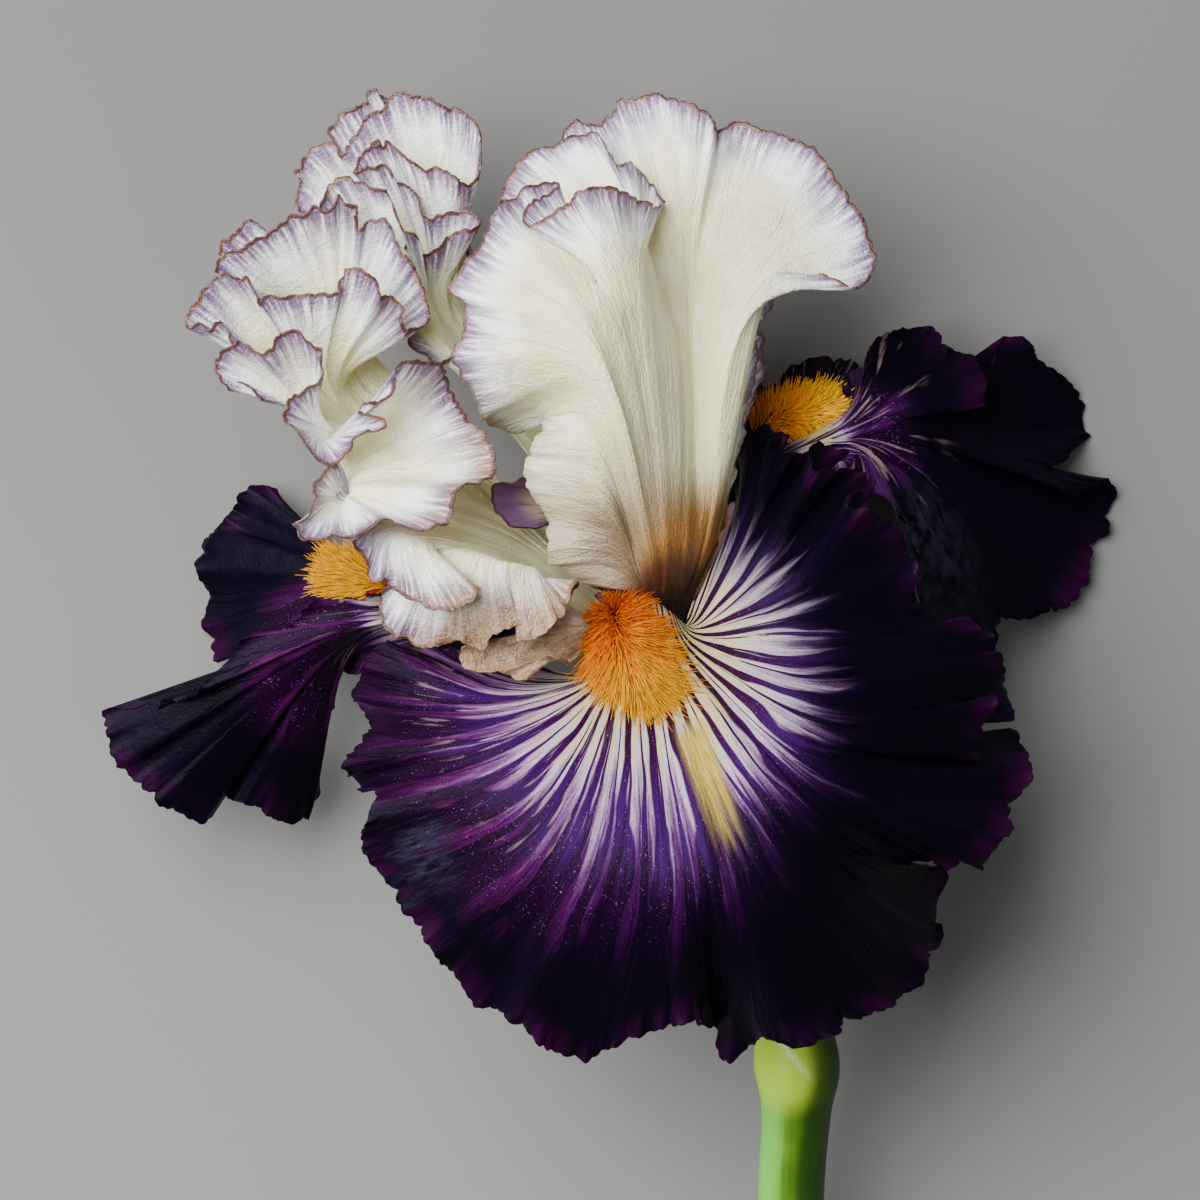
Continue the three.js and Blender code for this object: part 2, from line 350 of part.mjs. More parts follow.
const STYLE_LEFT = {
  angle: -120,
  turn: 1,
  footCircle: STYLE_CIRCLE,
  rim: [
    [590, 520, -9], [578, 490, -5], [556, 478, 1], [536, 474, 6], [521, 475, 8], [510, 480, 9],
    [501, 479, 9], [492, 484, 9], [491, 492, 9], [496, 509, 9], [505, 521, 9], [516, 529, 8],
    [530, 525, 6], [545, 524, 3], [562, 530, -1], [578, 544, -6], [592, 560, -9],
  ],
  spokes: [
    { rim: [590, 520], claw: [630, 606, -9], low: [610, 566, -10], mid: [600, 543, -10] },
    { rim: [521, 475], claw: [627, 607, -9], low: [603, 558, -10], mid: [574, 508, -6] },
    { rim: [505, 521], claw: [625, 609, -9], low: [601, 562, -10], mid: [570, 516, -5] },
    { rim: [545, 524], claw: [622, 612, -9], low: [600, 568, -10], mid: [574, 528, -6] },
    { rim: [592, 560], claw: [620, 616, -9], low: [604, 588, -10], mid: [597, 574, -10] },
  ],
};

const STYLE_RIGHT = {
  angle: 120,
  turn: -1,
  footCircle: STYLE_CIRCLE,
  rim: [
    [697, 576, -10], [706, 548, -11], [712, 520, -12], [718, 506, -11], [724, 498, -11],
    [728, 506, -10], [734, 500, -10], [736, 512, -9], [730, 530, -8], [722, 556, -8], [708, 586, -8],
  ],
  spokes: [
    { rim: [697, 576], claw: [676, 614, -9], low: [688, 594, -10], mid: [692, 586, -10] },
    { rim: [724, 498], claw: [679, 613, -8], low: [696, 582, -9], mid: [712, 546, -10] },
    { rim: [730, 530], claw: [682, 614, -8], low: [701, 582, -8], mid: [717, 550, -9] },
    { rim: [708, 586], claw: [685, 617, -8], low: [700, 597, -8], mid: [704, 592, -8] },
  ],
};

// ---------------------------------------------------------------- rows
// Rows of a petal from foot to rim: the ring each row lies on (0 foot, 1 claw, 2 low, 3 mid, 4 rim) and
// how many rim points one point of the row stands for.
const PETAL_ROWS = [
  { ring: 0, every: 9 },
  { ring: 1, every: 9 },
  { ring: 2, every: 6 },
  { ring: 2.55, every: 3 },
  { ring: 3, every: 2 },
  { ring: 3.36, every: 1 },
  { ring: 3.7, every: 1 },
  { ring: 4, every: 1 },
];
const STYLE_ROWS = [
  { ring: 0, every: 4 },
  { ring: 1, every: 4 },
  { ring: 2, every: 2 },
  { ring: 3, every: 1 },
  { ring: 4, every: 1 },
];

// ---------------------------------------------------------------- curves
// The value at t of a smooth curve through keys of { at, point }, with at rising.
function smoothAt(keys, t) {
  const last = keys.length - 1;
  let i = 0;
  while (i < last - 1 && keys[i + 1].at < t) i++;
  const a = keys[i];
  const b = keys[i + 1];
  const before = keys[Math.max(i - 1, 0)];
  const after = keys[Math.min(i + 2, last)];
  const span = b.at - a.at;
  const s = THREE.MathUtils.clamp((t - a.at) / span, 0, 1);
  const slopeA = b.point.clone().sub(before.point).multiplyScalar(span / (b.at - before.at));
  const slopeB = after.point.clone().sub(a.point).multiplyScalar(span / (after.at - a.at));
  const s2 = s * s;
  const s3 = s2 * s;
  return a.point
    .clone()
    .multiplyScalar(2 * s3 - 3 * s2 + 1)
    .addScaledVector(slopeA, s3 - 2 * s2 + s)
    .addScaledVector(b.point, 3 * s2 - 2 * s3)
    .addScaledVector(slopeB, s3 - s2);
}

// A petal's foot stands on the tube. Its edge nearer the viewer or farther away comes first by turn.
function footPoint(petal, share) {
  const circle = petal.footCircle ?? CLAW_CIRCLE;
  const degrees = petal.angle + petal.turn * (share * 2 - 1) * CLAW_HALF_ANGLE;
  const angle = THREE.MathUtils.degToRad(degrees);
  return TUBE_TOP.clone().add(
    new THREE.Vector3(circle * Math.sin(angle), FOOT_RISE, circle * Math.cos(angle)),
  );
}

// The surface of a petal as a function of place along the rim (in rim points) and ring.
function petalSurface(petal) {
  const rim = petal.rim.map((p, at) => ({ at, point: place(p) }));
  const spokes = petal.spokes.map((spoke) => ({
    at: petal.rim.findIndex((p) => p[0] === spoke.rim[0] && p[1] === spoke.rim[1]),
    claw: place(spoke.claw),
    low: place(spoke.low),
    mid: place(spoke.mid),
  }));
  const ring = (name) => spokes.map((spoke) => ({ at: spoke.at, point: spoke[name] }));
  const rings = { claw: ring("claw"), low: ring("low"), mid: ring("mid") };
  const end = petal.rim.length - 1;
  return (along, out) =>
    smoothAt(
      [
        { at: 0, point: footPoint(petal, along / end) },
        { at: 1, point: smoothAt(rings.claw, along) },
        { at: 2, point: smoothAt(rings.low, along) },
        { at: 3, point: smoothAt(rings.mid, along) },
        { at: 4, point: smoothAt(rim, along) },
      ],
      out,
    );
}

// The rim points worth keeping: both ends, and each point the straight run would miss by the tolerance.
function keptAlong(points, tolerance) {
  const kept = new Set([0, points.length - 1]);
  const split = (from, to) => {
    const chord = new THREE.Line3(points[from], points[to]);
    let worst = tolerance;
    let at = -1;
    for (let i = from + 1; i < to; i++) {
      const miss = chord.closestPointToPoint(points[i], true, new THREE.Vector3()).distanceTo(points[i]);
      if (miss > worst) {
        worst = miss;
        at = i;
      }
    }
    if (at < 0) return;
    kept.add(at);
    split(from, at);
    split(at, to);
  };
  split(0, points.length - 1);
  return [...kept].sort((a, b) => a - b);
}

// ---------------------------------------------------------------- meshes
function namedMesh(name, geometry, material) {
  geometry.computeVertexNormals();
  const mesh = new THREE.Mesh(geometry, material);
  mesh.name = name;
  return mesh;
}

function solidMesh(name, points, triangles, material) {
  const geometry = new THREE.BufferGeometry();
  geometry.setAttribute("position", new THREE.Float32BufferAttribute(coordinates(points), 3));
  geometry.setIndex(facingOut(points, triangles).flat());
  return namedMesh(name, geometry, material);
}

const coordinates = (points) => points.flatMap((p) => p.toArray());

function facingOut(points, triangles) {
  const reversed = ([a, b, c]) => [a, c, b];
  return signedVolume(points, triangles) < 0 ? triangles.map(reversed) : triangles;
}

function signedVolume(points, triangles) {
  const cross = new THREE.Vector3();
  return triangles.reduce(
    (sum, [a, b, c]) => sum + cross.crossVectors(points[a], points[b]).dot(points[c]) / 6,
    0,
  );
}

// The normals of an open sheet at its points.
function sheetNormals(points, triangles) {
  const normals = points.map(() => new THREE.Vector3());
  for (const [a, b, c] of triangles) {
    const ab = points[b].clone().sub(points[a]);
    const ac = points[c].clone().sub(points[a]);
    const face = ab.cross(ac);
    for (const i of [a, b, c]) normals[i].add(face);
  }
  return normals.map((n) => n.normalize());
}

// A sheet of rows, each a run of points at rising places along the rim, zipped into triangles.
function zipRows(rows) {
  const triangles = [];
  for (let r = 0; r + 1 < rows.length; r++) {
    const lower = rows[r];
    const upper = rows[r + 1];
    let i = 0;
    let j = 0;
    while (i < lower.length - 1 || j < upper.length - 1) {
      const stepLower =
        j === upper.length - 1 ||
        (i < lower.length - 1 && lower[i + 1].along <= upper[j + 1].along - 1e-9);
      if (stepLower) {
        triangles.push([lower[i].index, lower[i + 1].index, upper[j].index]);
        i++;
      } else {
        triangles.push([lower[i].index, upper[j + 1].index, upper[j].index]);
        j++;
      }
    }
  }
  return triangles;
}

// The run of points round the edge of a zipped sheet.
function edgeLoop(rows) {
  const first = rows[0];
  const last = rows[rows.length - 1];
  const rightSide = rows.slice(1).map((row) => row[row.length - 1]);
  const leftSide = rows.slice(1, -1).map((row) => row[0]);
  const loop = [...first, ...rightSide, ...last.slice(0, -1).reverse(), ...leftSide.reverse()];
  return loop.map((p) => p.index);
}

// Two faces of a sheet and the wall round their edge.
function closedSheet(front, back, sheet, rows) {
  const count = front.length;
  const loop = edgeLoop(rows);
  const walls = loop.flatMap((a, i) => {
    const b = loop[(i + 1) % loop.length];
    return [
      [a, a + count, b],
      [b, a + count, b + count],
    ];
  });
  const backSheet = sheet.map(([a, b, c]) => [a + count, c + count, b + count]);
  return { points: [...front, ...back], triangles: [...sheet, ...backSheet, ...walls] };
}

// A blade is its mid sheet made thick: the same triangles on both faces, and a wall round the edge.
function bladeMesh(name, petal, material, layout = PETAL_ROWS) {
  const surface = petalSurface(petal);
  const kept = keptAlong(petal.rim.map((p) => place(p)), RIM_TOLERANCE);
  const points = [];
  const half = [];
  const rows = layout.map(({ ring, every }) =>
    kept
      .filter((_, i) => i % every === 0 || i === kept.length - 1)
      .filter((_, i, list) => i !== list.length - 2 || every === 1 || list.length < 4)
      .map((along) => {
        points.push(surface(along, ring));
        half.push(THREE.MathUtils.lerp(BLADE_ROOT_THICKNESS, BLADE_RIM_THICKNESS, ring / 4) / 2);
        return { along, index: points.length - 1 };
      }),
  );
  const sheet = zipRows(rows);
  const normals = sheetNormals(points, sheet);
  const front = points.map((p, i) => p.clone().addScaledVector(normals[i], half[i]));
  const back = points.map((p, i) => p.clone().addScaledVector(normals[i], -half[i]));
  const solid = closedSheet(front, back, sheet, rows);
  return solidMesh(name, solid.points, solid.triangles, material);
}

// A round body along a curve, closed at both ends.
const ROUND_BODY_STEPS = 3; // from one station to the next

function roundBody(name, stations, sides, material) {
  const curve = new THREE.CatmullRomCurve3(stations.map((s) => s.point), false, "centripetal");
  const steps = (stations.length - 1) * ROUND_BODY_STEPS;
  const frames = curve.computeFrenetFrames(steps, false);
  const radii = stations.map((s, at) => ({ at, point: new THREE.Vector3(s.radius, 0, 0) }));
  const points = [];
  for (let k = 0; k <= steps; k++) {
    const centre = curve.getPoint(k / steps);
    const radius = smoothAt(radii, (k / steps) * (stations.length - 1)).x;
    const tangent = curve.getTangent(k / steps);
    const across = frames.normals[k].clone();
    across.addScaledVector(tangent, -across.dot(tangent)).normalize();
    const up = new THREE.Vector3().crossVectors(tangent, across);
    for (let j = 0; j < sides; j++) {
      const angle = (2 * Math.PI * j) / sides;
      points.push(
        centre
          .clone()
          .addScaledVector(across, radius * Math.cos(angle))
          .addScaledVector(up, radius * Math.sin(angle)),
      );
    }
  }
  const triangles = [];
  for (let k = 0; k < steps; k++)
    for (let j = 0; j < sides; j++) {
      const a = k * sides + j;
      const b = k * sides + ((j + 1) % sides);
      triangles.push([a, b, a + sides], [b, b + sides, a + sides]);
    }
  const firstCentre = points.push(curve.getPoint(0)) - 1;
  const lastCentre = points.push(curve.getPoint(1)) - 1;
  for (let j = 0; j < sides; j++) {
    const next = (j + 1) % sides;
    triangles.push([firstCentre, next, j]);
    triangles.push([lastCentre, steps * sides + j, steps * sides + next]);
  }
  return solidMesh(name, points, triangles, material);
}

// ---------------------------------------------------------------- beards
// A beard is a low pad on its fall, along a centre line of [right, down, half width], with bristles.
const BEARDS = {
  beard_front: {
    petal: FALL_FRONT,
    rings: [1.05, 2.6],
    line: [[637, 614, 8], [635, 630, 17], [641, 654, 25], [650, 682, 27], [658, 706, 17]],
    bristles: 80,
    lean: 1.1,
  },
  beard_left: {
    petal: FALL_LEFT,
    rings: [2.3, 3.6],
    line: [[384, 586, 5], [370, 584, 8], [356, 581, 9], [342, 578, 6]],
    bristles: 44,
    lean: 1.3,
  },
  beard_right: {
    petal: FALL_RIGHT,
    rings: [2, 3.3],
    line: [[756, 434, 8], [776, 422, 13], [798, 416, 13], [818, 414, 11], [832, 416, 7]],
    bristles: 56,
    lean: 1.3,
  },
};
const BEARD_CLEARANCE = BLADE_ROOT_THICKNESS / 2 + GAP; // over the middle of the fall's blade
const PAD_EDGE = 0.5; // mm, the pad's thickness at its rim
const PAD_HEIGHT = 1.4; // mm that its middle adds
const PAD_SHARES = [-1, -0.5, 0, 0.5, 1]; // places across the pad, in half widths
const PAD_STEPS = 2; // from one point of the line to the next
const PAD_END = 0.6; // steps that the pad's swell would run on past each end
const BRISTLE_LENGTH = 3.6;
const SHORTEST_BRISTLE = 0.7; // of that length
const BRISTLE_VARIATION = 0.5; // of that length
const BRISTLE_RADIUS = 0.42;
const BRISTLE_SIDES = 3;
const BRISTLE_SINK = 0.35; // mm of a bristle inside the pad
const BRISTLED_WIDTH = 0.85; // of the pad's width
const UPRIGHT_PLACE = 0.25; // of the beard's length, where the bristles stand upright
const SIDE_LEAN = 0.6; // of the outermost bristles
const SCATTER = 0.4;
const LEAST_RISE = 0.25; // a bristle that rises less from the pad is lifted
const LIFT = 0.5;

const RINGS_IN_A_POINT = 0.1; // rings that count as one rim point in a search
const FIRST_SEARCH_STEP = 0.5;
const LAST_SEARCH_STEP = 0.01;

// The place on a petal, as { along, ring }, that lies under a point of the drawing.
function underPoint(surface, end, [from, to], target) {
  let best = { miss: Infinity };
  const tryAt = (along, ring) => {
    if (along < 0 || along > end || ring < from || ring > to) return;
    const p = surface(along, ring);
    const scale = 1 - p.z / EYE_HEIGHT;
    const miss = Math.hypot(p.x / scale - target.x, p.y / scale - target.y);
    if (miss < best.miss) best = { along, ring, miss };
  };
  for (let along = 0; along <= end; along += 1)
    for (let ring = from; ring <= to; ring += RINGS_IN_A_POINT) tryAt(along, ring);
  for (let step = FIRST_SEARCH_STEP; step > LAST_SEARCH_STEP; step /= 2) {
    const { along, ring } = best;
    for (const da of [-step, 0, step])
      for (const dr of [-step, 0, step]) tryAt(along + da, ring + dr * RINGS_IN_A_POINT);
  }
  return best;
}

// The petal's face that looks at the viewer, and its normal there.
const NORMAL_STEP = 0.02;

function faceAt(surface, { along, ring }) {
  const point = surface(along, ring);
  const ahead = surface(along + NORMAL_STEP, ring);
  const acrossWay = ahead.sub(surface(Math.max(along - NORMAL_STEP, 0), ring));
  const outWay = surface(along, ring + NORMAL_STEP).sub(surface(along, ring - NORMAL_STEP));
  const normal = acrossWay.cross(outWay).normalize();
  if (normal.z < 0) normal.negate();
  return { point, normal };
}

// Repeatable random numbers from 0 to 1.
const RANDOM_FACTOR = 1664525;
const RANDOM_STEP = 1013904223;
const RANDOM_RANGE = 2 ** 32;

function randomFrom(seed) {
  let state = seed;
  return () => {
    state = (state * RANDOM_FACTOR + RANDOM_STEP) % RANDOM_RANGE;
    return state / RANDOM_RANGE;
  };
}

// A beard's line as a function of t, from 0 to 1, to right, down and half width.
function beardLine(beard) {
  const keys = beard.line.map((point, at) => ({ at, point: new THREE.Vector3(...point) }));
  return (t) => smoothAt(keys, t * (keys.length - 1));
}

// The way that a line runs on at t, measured over reach on each side of it.
function wayOn(lineAt, t, reach) {
  return lineAt(Math.min(t + reach, 1)).sub(lineAt(Math.max(t - reach, 0)));
}

// The fall's face under a beard, as a function of t along the beard and s across it, from -1 to 1.
function beardSeat(beard, lineAt) {
  const surface = petalSurface(beard.petal);
  const end = beard.petal.rim.length - 1;
  return (t, s) => {
    const here = lineAt(t);
    const ahead = wayOn(lineAt, t, 0.01);
    const sideways = new THREE.Vector2(-ahead.y, ahead.x).normalize().multiplyScalar(here.z * s);
    const target = place([here.x + sideways.x, here.y + sideways.y, 0]);
    return faceAt(surface, underPoint(surface, end, beard.rings, target));
  };
}

// How high a beard's pad stands over its fall's blade at a step along it and s across it.
function padHeight(step, steps, s) {
  const swell = (1 - s * s) * Math.sin((Math.PI * (step + PAD_END)) / (steps + 2 * PAD_END));
  return BEARD_CLEARANCE + PAD_EDGE + PAD_HEIGHT * swell;
}

function beardPad(seat, steps) {
  const bottom = [];
  const top = [];
  const rows = [];
  for (let k = 0; k <= steps; k++) {
    rows.push(PAD_SHARES.map((_, j) => ({ along: j, index: k * PAD_SHARES.length + j })));
    for (const s of PAD_SHARES) {
      const { point, normal } = seat(k / steps, s);
      bottom.push(point.clone().addScaledVector(normal, BEARD_CLEARANCE));
      top.push(point.clone().addScaledVector(normal, padHeight(k, steps, s)));
    }
  }
  const pad = closedSheet(top, bottom, zipRows(rows), rows);
  return manifoldOf(coordinates(pad.points), facingOut(pad.points, pad.triangles).flat());
}

// A bristle of length 1 that stands on its root, along +Y.
function uprightBristle() {
  const cone = new THREE.ConeGeometry(BRISTLE_RADIUS, 1, BRISTLE_SIDES);
  cone.deleteAttribute("normal");
  cone.deleteAttribute("uv");
  cone.translate(0, 0.5, 0);
  return mergeVertices(cone);
}

function beardMesh(name, beard, material) {
  const lineAt = beardLine(beard);
  const seat = beardSeat(beard, lineAt);
  const steps = (beard.line.length - 1) * PAD_STEPS;
  const solids = [beardPad(seat, steps)];
  const bristle = uprightBristle();
  const upright = new THREE.Vector3(0, 1, 0);
  const middleNormal = seat(0.5, 0).normal;
  const random = randomFrom(beard.bristles);
  for (let i = 0; i < beard.bristles; i++) {
    const t = (i + 0.5) / beard.bristles;
    const s = random() * 2 * BRISTLED_WIDTH - BRISTLED_WIDTH;
    const { point, normal } = seat(t, s);
    const root = point.clone().addScaledVector(normal, padHeight(t * steps, steps, s) - BRISTLE_SINK);
    const onward = wayOn(lineAt, t, 0.05);
    const sideways = new THREE.Vector3(onward.y, onward.x, 0).normalize();
    const forward = new THREE.Vector3(onward.x, -onward.y, 0).normalize();
    const scatter = new THREE.Vector3(random() - 0.5, random() - 0.5, 0).multiplyScalar(SCATTER);
    const way = normal
      .clone()
      .addScaledVector(sideways, -s * SIDE_LEAN)
      .addScaledVector(forward, beard.lean * (t - UPRIGHT_PLACE))
      .add(scatter)
      .normalize();
    if (way.dot(middleNormal) < LEAST_RISE) way.addScaledVector(middleNormal, LIFT).normalize();
    const length = BRISTLE_LENGTH * (SHORTEST_BRISTLE + BRISTLE_VARIATION * random());
    const turn = new THREE.Quaternion().setFromUnitVectors(upright, way);
    const matrix = new THREE.Matrix4().compose(root, turn, new THREE.Vector3(1, length, 1));
    const geometry = bristle.clone().applyMatrix4(matrix);
    solids.push(manifoldOf(geometry.attributes.position.array, geometry.index.array));
  }
  // bristles that cross can shut in a pocket of air, which is filled
  const pieces = wasm.Manifold.union(solids).decompose();
  const [outside] = pieces.filter((piece) => piece.volume() > 0);
  return namedMesh(name, geometryOf(outside), material);
}

function manifoldOf(positions, indexes) {
  const mesh = new wasm.Mesh({
    numProp: 3,
    vertProperties: new Float32Array(positions),
    triVerts: new Uint32Array(indexes),
  });
  return new wasm.Manifold(mesh);
}

function geometryOf(solid) {
  const { vertProperties, triVerts } = solid.getMesh();
  const geometry = new THREE.BufferGeometry();
  geometry.setAttribute("position", new THREE.BufferAttribute(vertProperties, 3));
  geometry.setIndex(new THREE.BufferAttribute(triVerts, 1));
  return geometry;
}

// ---------------------------------------------------------------- materials
const PLANT_ROUGHNESS = 0.6;
const plantMaterial = (name, color) =>
  new THREE.MeshStandardMaterial({ name, color, roughness: PLANT_ROUGHNESS, metalness: 0 });
const FALL_PURPLE = plantMaterial("fall_purple", 0x2a0a3c);
const STANDARD_WHITE = plantMaterial("standard_white", 0xece8da);
const BEARD_ORANGE = plantMaterial("beard_orange", 0xf08a10);
const STYLE_AMBER = plantMaterial("style_amber", 0xb08a5a);
const ANTHER_CREAM = plantMaterial("anther_cream", 0xe8dcb0);
const STEM_GREEN = plantMaterial("stem_green", 0x7fa83e);

// ---------------------------------------------------------------- stem
// From the cut end, past the bract's collar, to the tube behind the bloom.
const STEM = [
  { point: [795, 1480, -33], radius: 5.0 },
  { point: [794, 1330, -29], radius: 5.0 },
  { point: [791, 1200, -23], radius: 5.1 },
  { point: [796, 1113, -18], radius: 5.4 },
  { point: [797, 1068, -16], radius: 6.6 },
  { point: [790, 1020, -15], radius: 6.0 },
  { point: [762, 920, -15], radius: 6.4 },
  { point: [715, 800, -13], radius: 4.6 },
  { point: [670, 710, -8], radius: 4.4 },
];
const STEM_SIDES = 16;
const TUBE_LIP = 3; // mm, over which the tube widens to its top
const TUBE_LIP_RISE = 0.5; // mm that its radius grows there

const placed = (stations) => stations.map(({ point, radius }) => ({ point: place(point), radius }));

function stemMesh() {
  const stations = placed(STEM);
  const top = TUBE_TOP.clone().add(new THREE.Vector3(0, -GAP, 0));
  const lip = top.clone().add(new THREE.Vector3(0, -TUBE_LIP, 0));
  stations.push({ point: lip, radius: TUBE_RADIUS - TUBE_LIP_RISE });
  stations.push({ point: top, radius: TUBE_RADIUS });
  return roundBody("stem", stations, STEM_SIDES, STEM_GREEN);
}

// ---------------------------------------------------------------- stamens
// A stamen is a thin filament that ends in a longer, fatter anther.
const STAMENS = {
  stamen_front: [
    { point: [654, 646, -2.6], radius: 0.4 },
    { point: [648, 630, 0.6], radius: 0.4 },
    { point: [640, 616, 4.2], radius: 0.7 },
    { point: [634, 608, 5.4], radius: 0.4 },
  ],
  stamen_left: [
    { point: [636, 646, -7.7], radius: 0.4 },
    { point: [628, 626, -10.2], radius: 0.4 },
    { point: [615, 604, -12], radius: 0.5 },
    { point: [600, 584, -13], radius: 0.9 },
    { point: [586, 568, -13.5], radius: 0.4 },
  ],
  stamen_right: [
    { point: [674, 646, -7.7], radius: 0.4 },
    { point: [677, 626, -9.8], radius: 0.4 },
    { point: [688, 598, -11.8], radius: 0.5 },
    { point: [700, 576, -13], radius: 0.9 },
    { point: [710, 558, -14], radius: 0.4 },
  ],
};
const STAMEN_SIDES = 8;

function stamenMesh(name) {
  return roundBody(name, placed(STAMENS[name]), STAMEN_SIDES, ANTHER_CREAM);
}

// ---------------------------------------------------------------- flower
const flower = new THREE.Group();
flower.add(
  stemMesh(),
  bladeMesh("fall_front", FALL_FRONT, FALL_PURPLE),
  bladeMesh("fall_left", FALL_LEFT, FALL_PURPLE),
  bladeMesh("fall_right", FALL_RIGHT, FALL_PURPLE),
  bladeMesh("standard_left", STANDARD_LEFT, STANDARD_WHITE),
  bladeMesh("standard_right", STANDARD_RIGHT, STANDARD_WHITE),
  bladeMesh("standard_rear", STANDARD_REAR, STANDARD_WHITE),
  bladeMesh("style_front", STYLE_FRONT, STYLE_AMBER, STYLE_ROWS),
  bladeMesh("style_left", STYLE_LEFT, STYLE_AMBER, STYLE_ROWS),
  bladeMesh("style_right", STYLE_RIGHT, STYLE_AMBER, STYLE_ROWS),
  ...Object.entries(BEARDS).map(([name, beard]) => beardMesh(name, beard, BEARD_ORANGE)),
  ...Object.keys(STAMENS).map(stamenMesh),
);

// The part's frame: the middle of its footprint, on the surface it lies on.
const extent = new THREE.Box3().setFromObject(flower, true);
const middle = extent.getCenter(new THREE.Vector3());
flower.position.set(-middle.x, -middle.y, -extent.min.z);

const iris = new THREE.Group();
iris.add(flower);
export default iris;
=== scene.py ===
import bpy
import numpy as np
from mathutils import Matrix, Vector


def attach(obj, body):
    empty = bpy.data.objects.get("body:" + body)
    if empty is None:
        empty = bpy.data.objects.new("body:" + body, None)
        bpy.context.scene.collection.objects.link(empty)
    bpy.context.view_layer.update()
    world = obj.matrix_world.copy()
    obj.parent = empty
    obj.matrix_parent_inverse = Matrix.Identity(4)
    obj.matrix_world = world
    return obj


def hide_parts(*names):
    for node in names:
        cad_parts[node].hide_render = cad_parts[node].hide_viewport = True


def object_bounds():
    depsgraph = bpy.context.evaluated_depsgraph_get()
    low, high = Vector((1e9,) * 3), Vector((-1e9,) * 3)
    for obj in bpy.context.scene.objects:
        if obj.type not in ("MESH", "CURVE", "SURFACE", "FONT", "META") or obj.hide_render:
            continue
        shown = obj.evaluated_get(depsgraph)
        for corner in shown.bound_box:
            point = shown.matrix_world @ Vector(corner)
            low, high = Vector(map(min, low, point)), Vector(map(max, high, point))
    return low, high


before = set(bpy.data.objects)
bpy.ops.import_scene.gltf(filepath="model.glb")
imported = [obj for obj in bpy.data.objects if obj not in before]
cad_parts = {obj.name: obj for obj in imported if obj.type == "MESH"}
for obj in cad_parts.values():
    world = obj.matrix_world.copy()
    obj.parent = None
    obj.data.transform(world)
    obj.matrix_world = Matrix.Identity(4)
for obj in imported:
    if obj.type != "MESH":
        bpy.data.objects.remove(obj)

cad_low, cad_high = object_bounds()

# A bearded iris flower on its cut stem, seen from straight above. Lengths are in mm until a mesh is made.

# ---------------------------------------------------------------- frame
# Outlines are drawn as (right, down, depth). Right and down are drawing units counted from the top left
# corner, depth is in mm toward the viewer, and the viewer's eye hangs over the drawing's centre.
MM = 0.001
BLOOM_SPAN = 152.0
BLOOM_SPAN_DRAWN = 1013
UNIT = BLOOM_SPAN / BLOOM_SPAN_DRAWN
DRAWING_SIDE = 1200
DRAWING_CENTRE = DRAWING_SIDE / 2
EYE_HEIGHT = 900.0
ORIGIN = np.array([-2.253, 29.739, 38.273])  # the drawing's centre at depth 0, in the part's frame


def place(points):
    """Points of the drawing, as rows of right, down, depth, in the part's frame in mm."""
    points = np.atleast_2d(np.asarray(points, float))
    scale = UNIT * (1 - points[:, 2] / EYE_HEIGHT)
    across = (points[:, 0] - DRAWING_CENTRE) * scale
    up = (DRAWING_CENTRE - points[:, 1]) * scale
    return np.column_stack([across, up, points[:, 2]]) + ORIGIN


def drawn(points):
    """Right and down of the drawing, for points in the part's frame."""
    local = points - ORIGIN
    scale = UNIT * (1 - local[..., 2] / EYE_HEIGHT)
    return np.stack([DRAWING_CENTRE + local[..., 0] / scale, DRAWING_CENTRE - local[..., 1] / scale], axis=-1)


# ---------------------------------------------------------------- petals
# Every petal is a fan that stands on the tube. Its rim is a run of points. Each spoke names the rim point
# it ends at, then the points it passes on its way out from the tube: claw, low and mid blade. The foot is
# at angle degrees round the tube, and the rim goes round it the way turn says. Frill and pleat are how
# much the rim is fluted and the blade pleated, and seed starts the petal's own noise.
TUBE_TOP = place([655, 650, -6])[0]
TUBE_RADIUS = 5.6
CLAW_CIRCLE = 4.9  # radius of the circle on which the petals stand on the tube
STYLE_CIRCLE = 1.9
FOOT_RISE = 0.6  # a petal's foot over the tube's end
CLAW_HALF_ANGLE = 22  # degrees of that circle that half a petal's foot takes

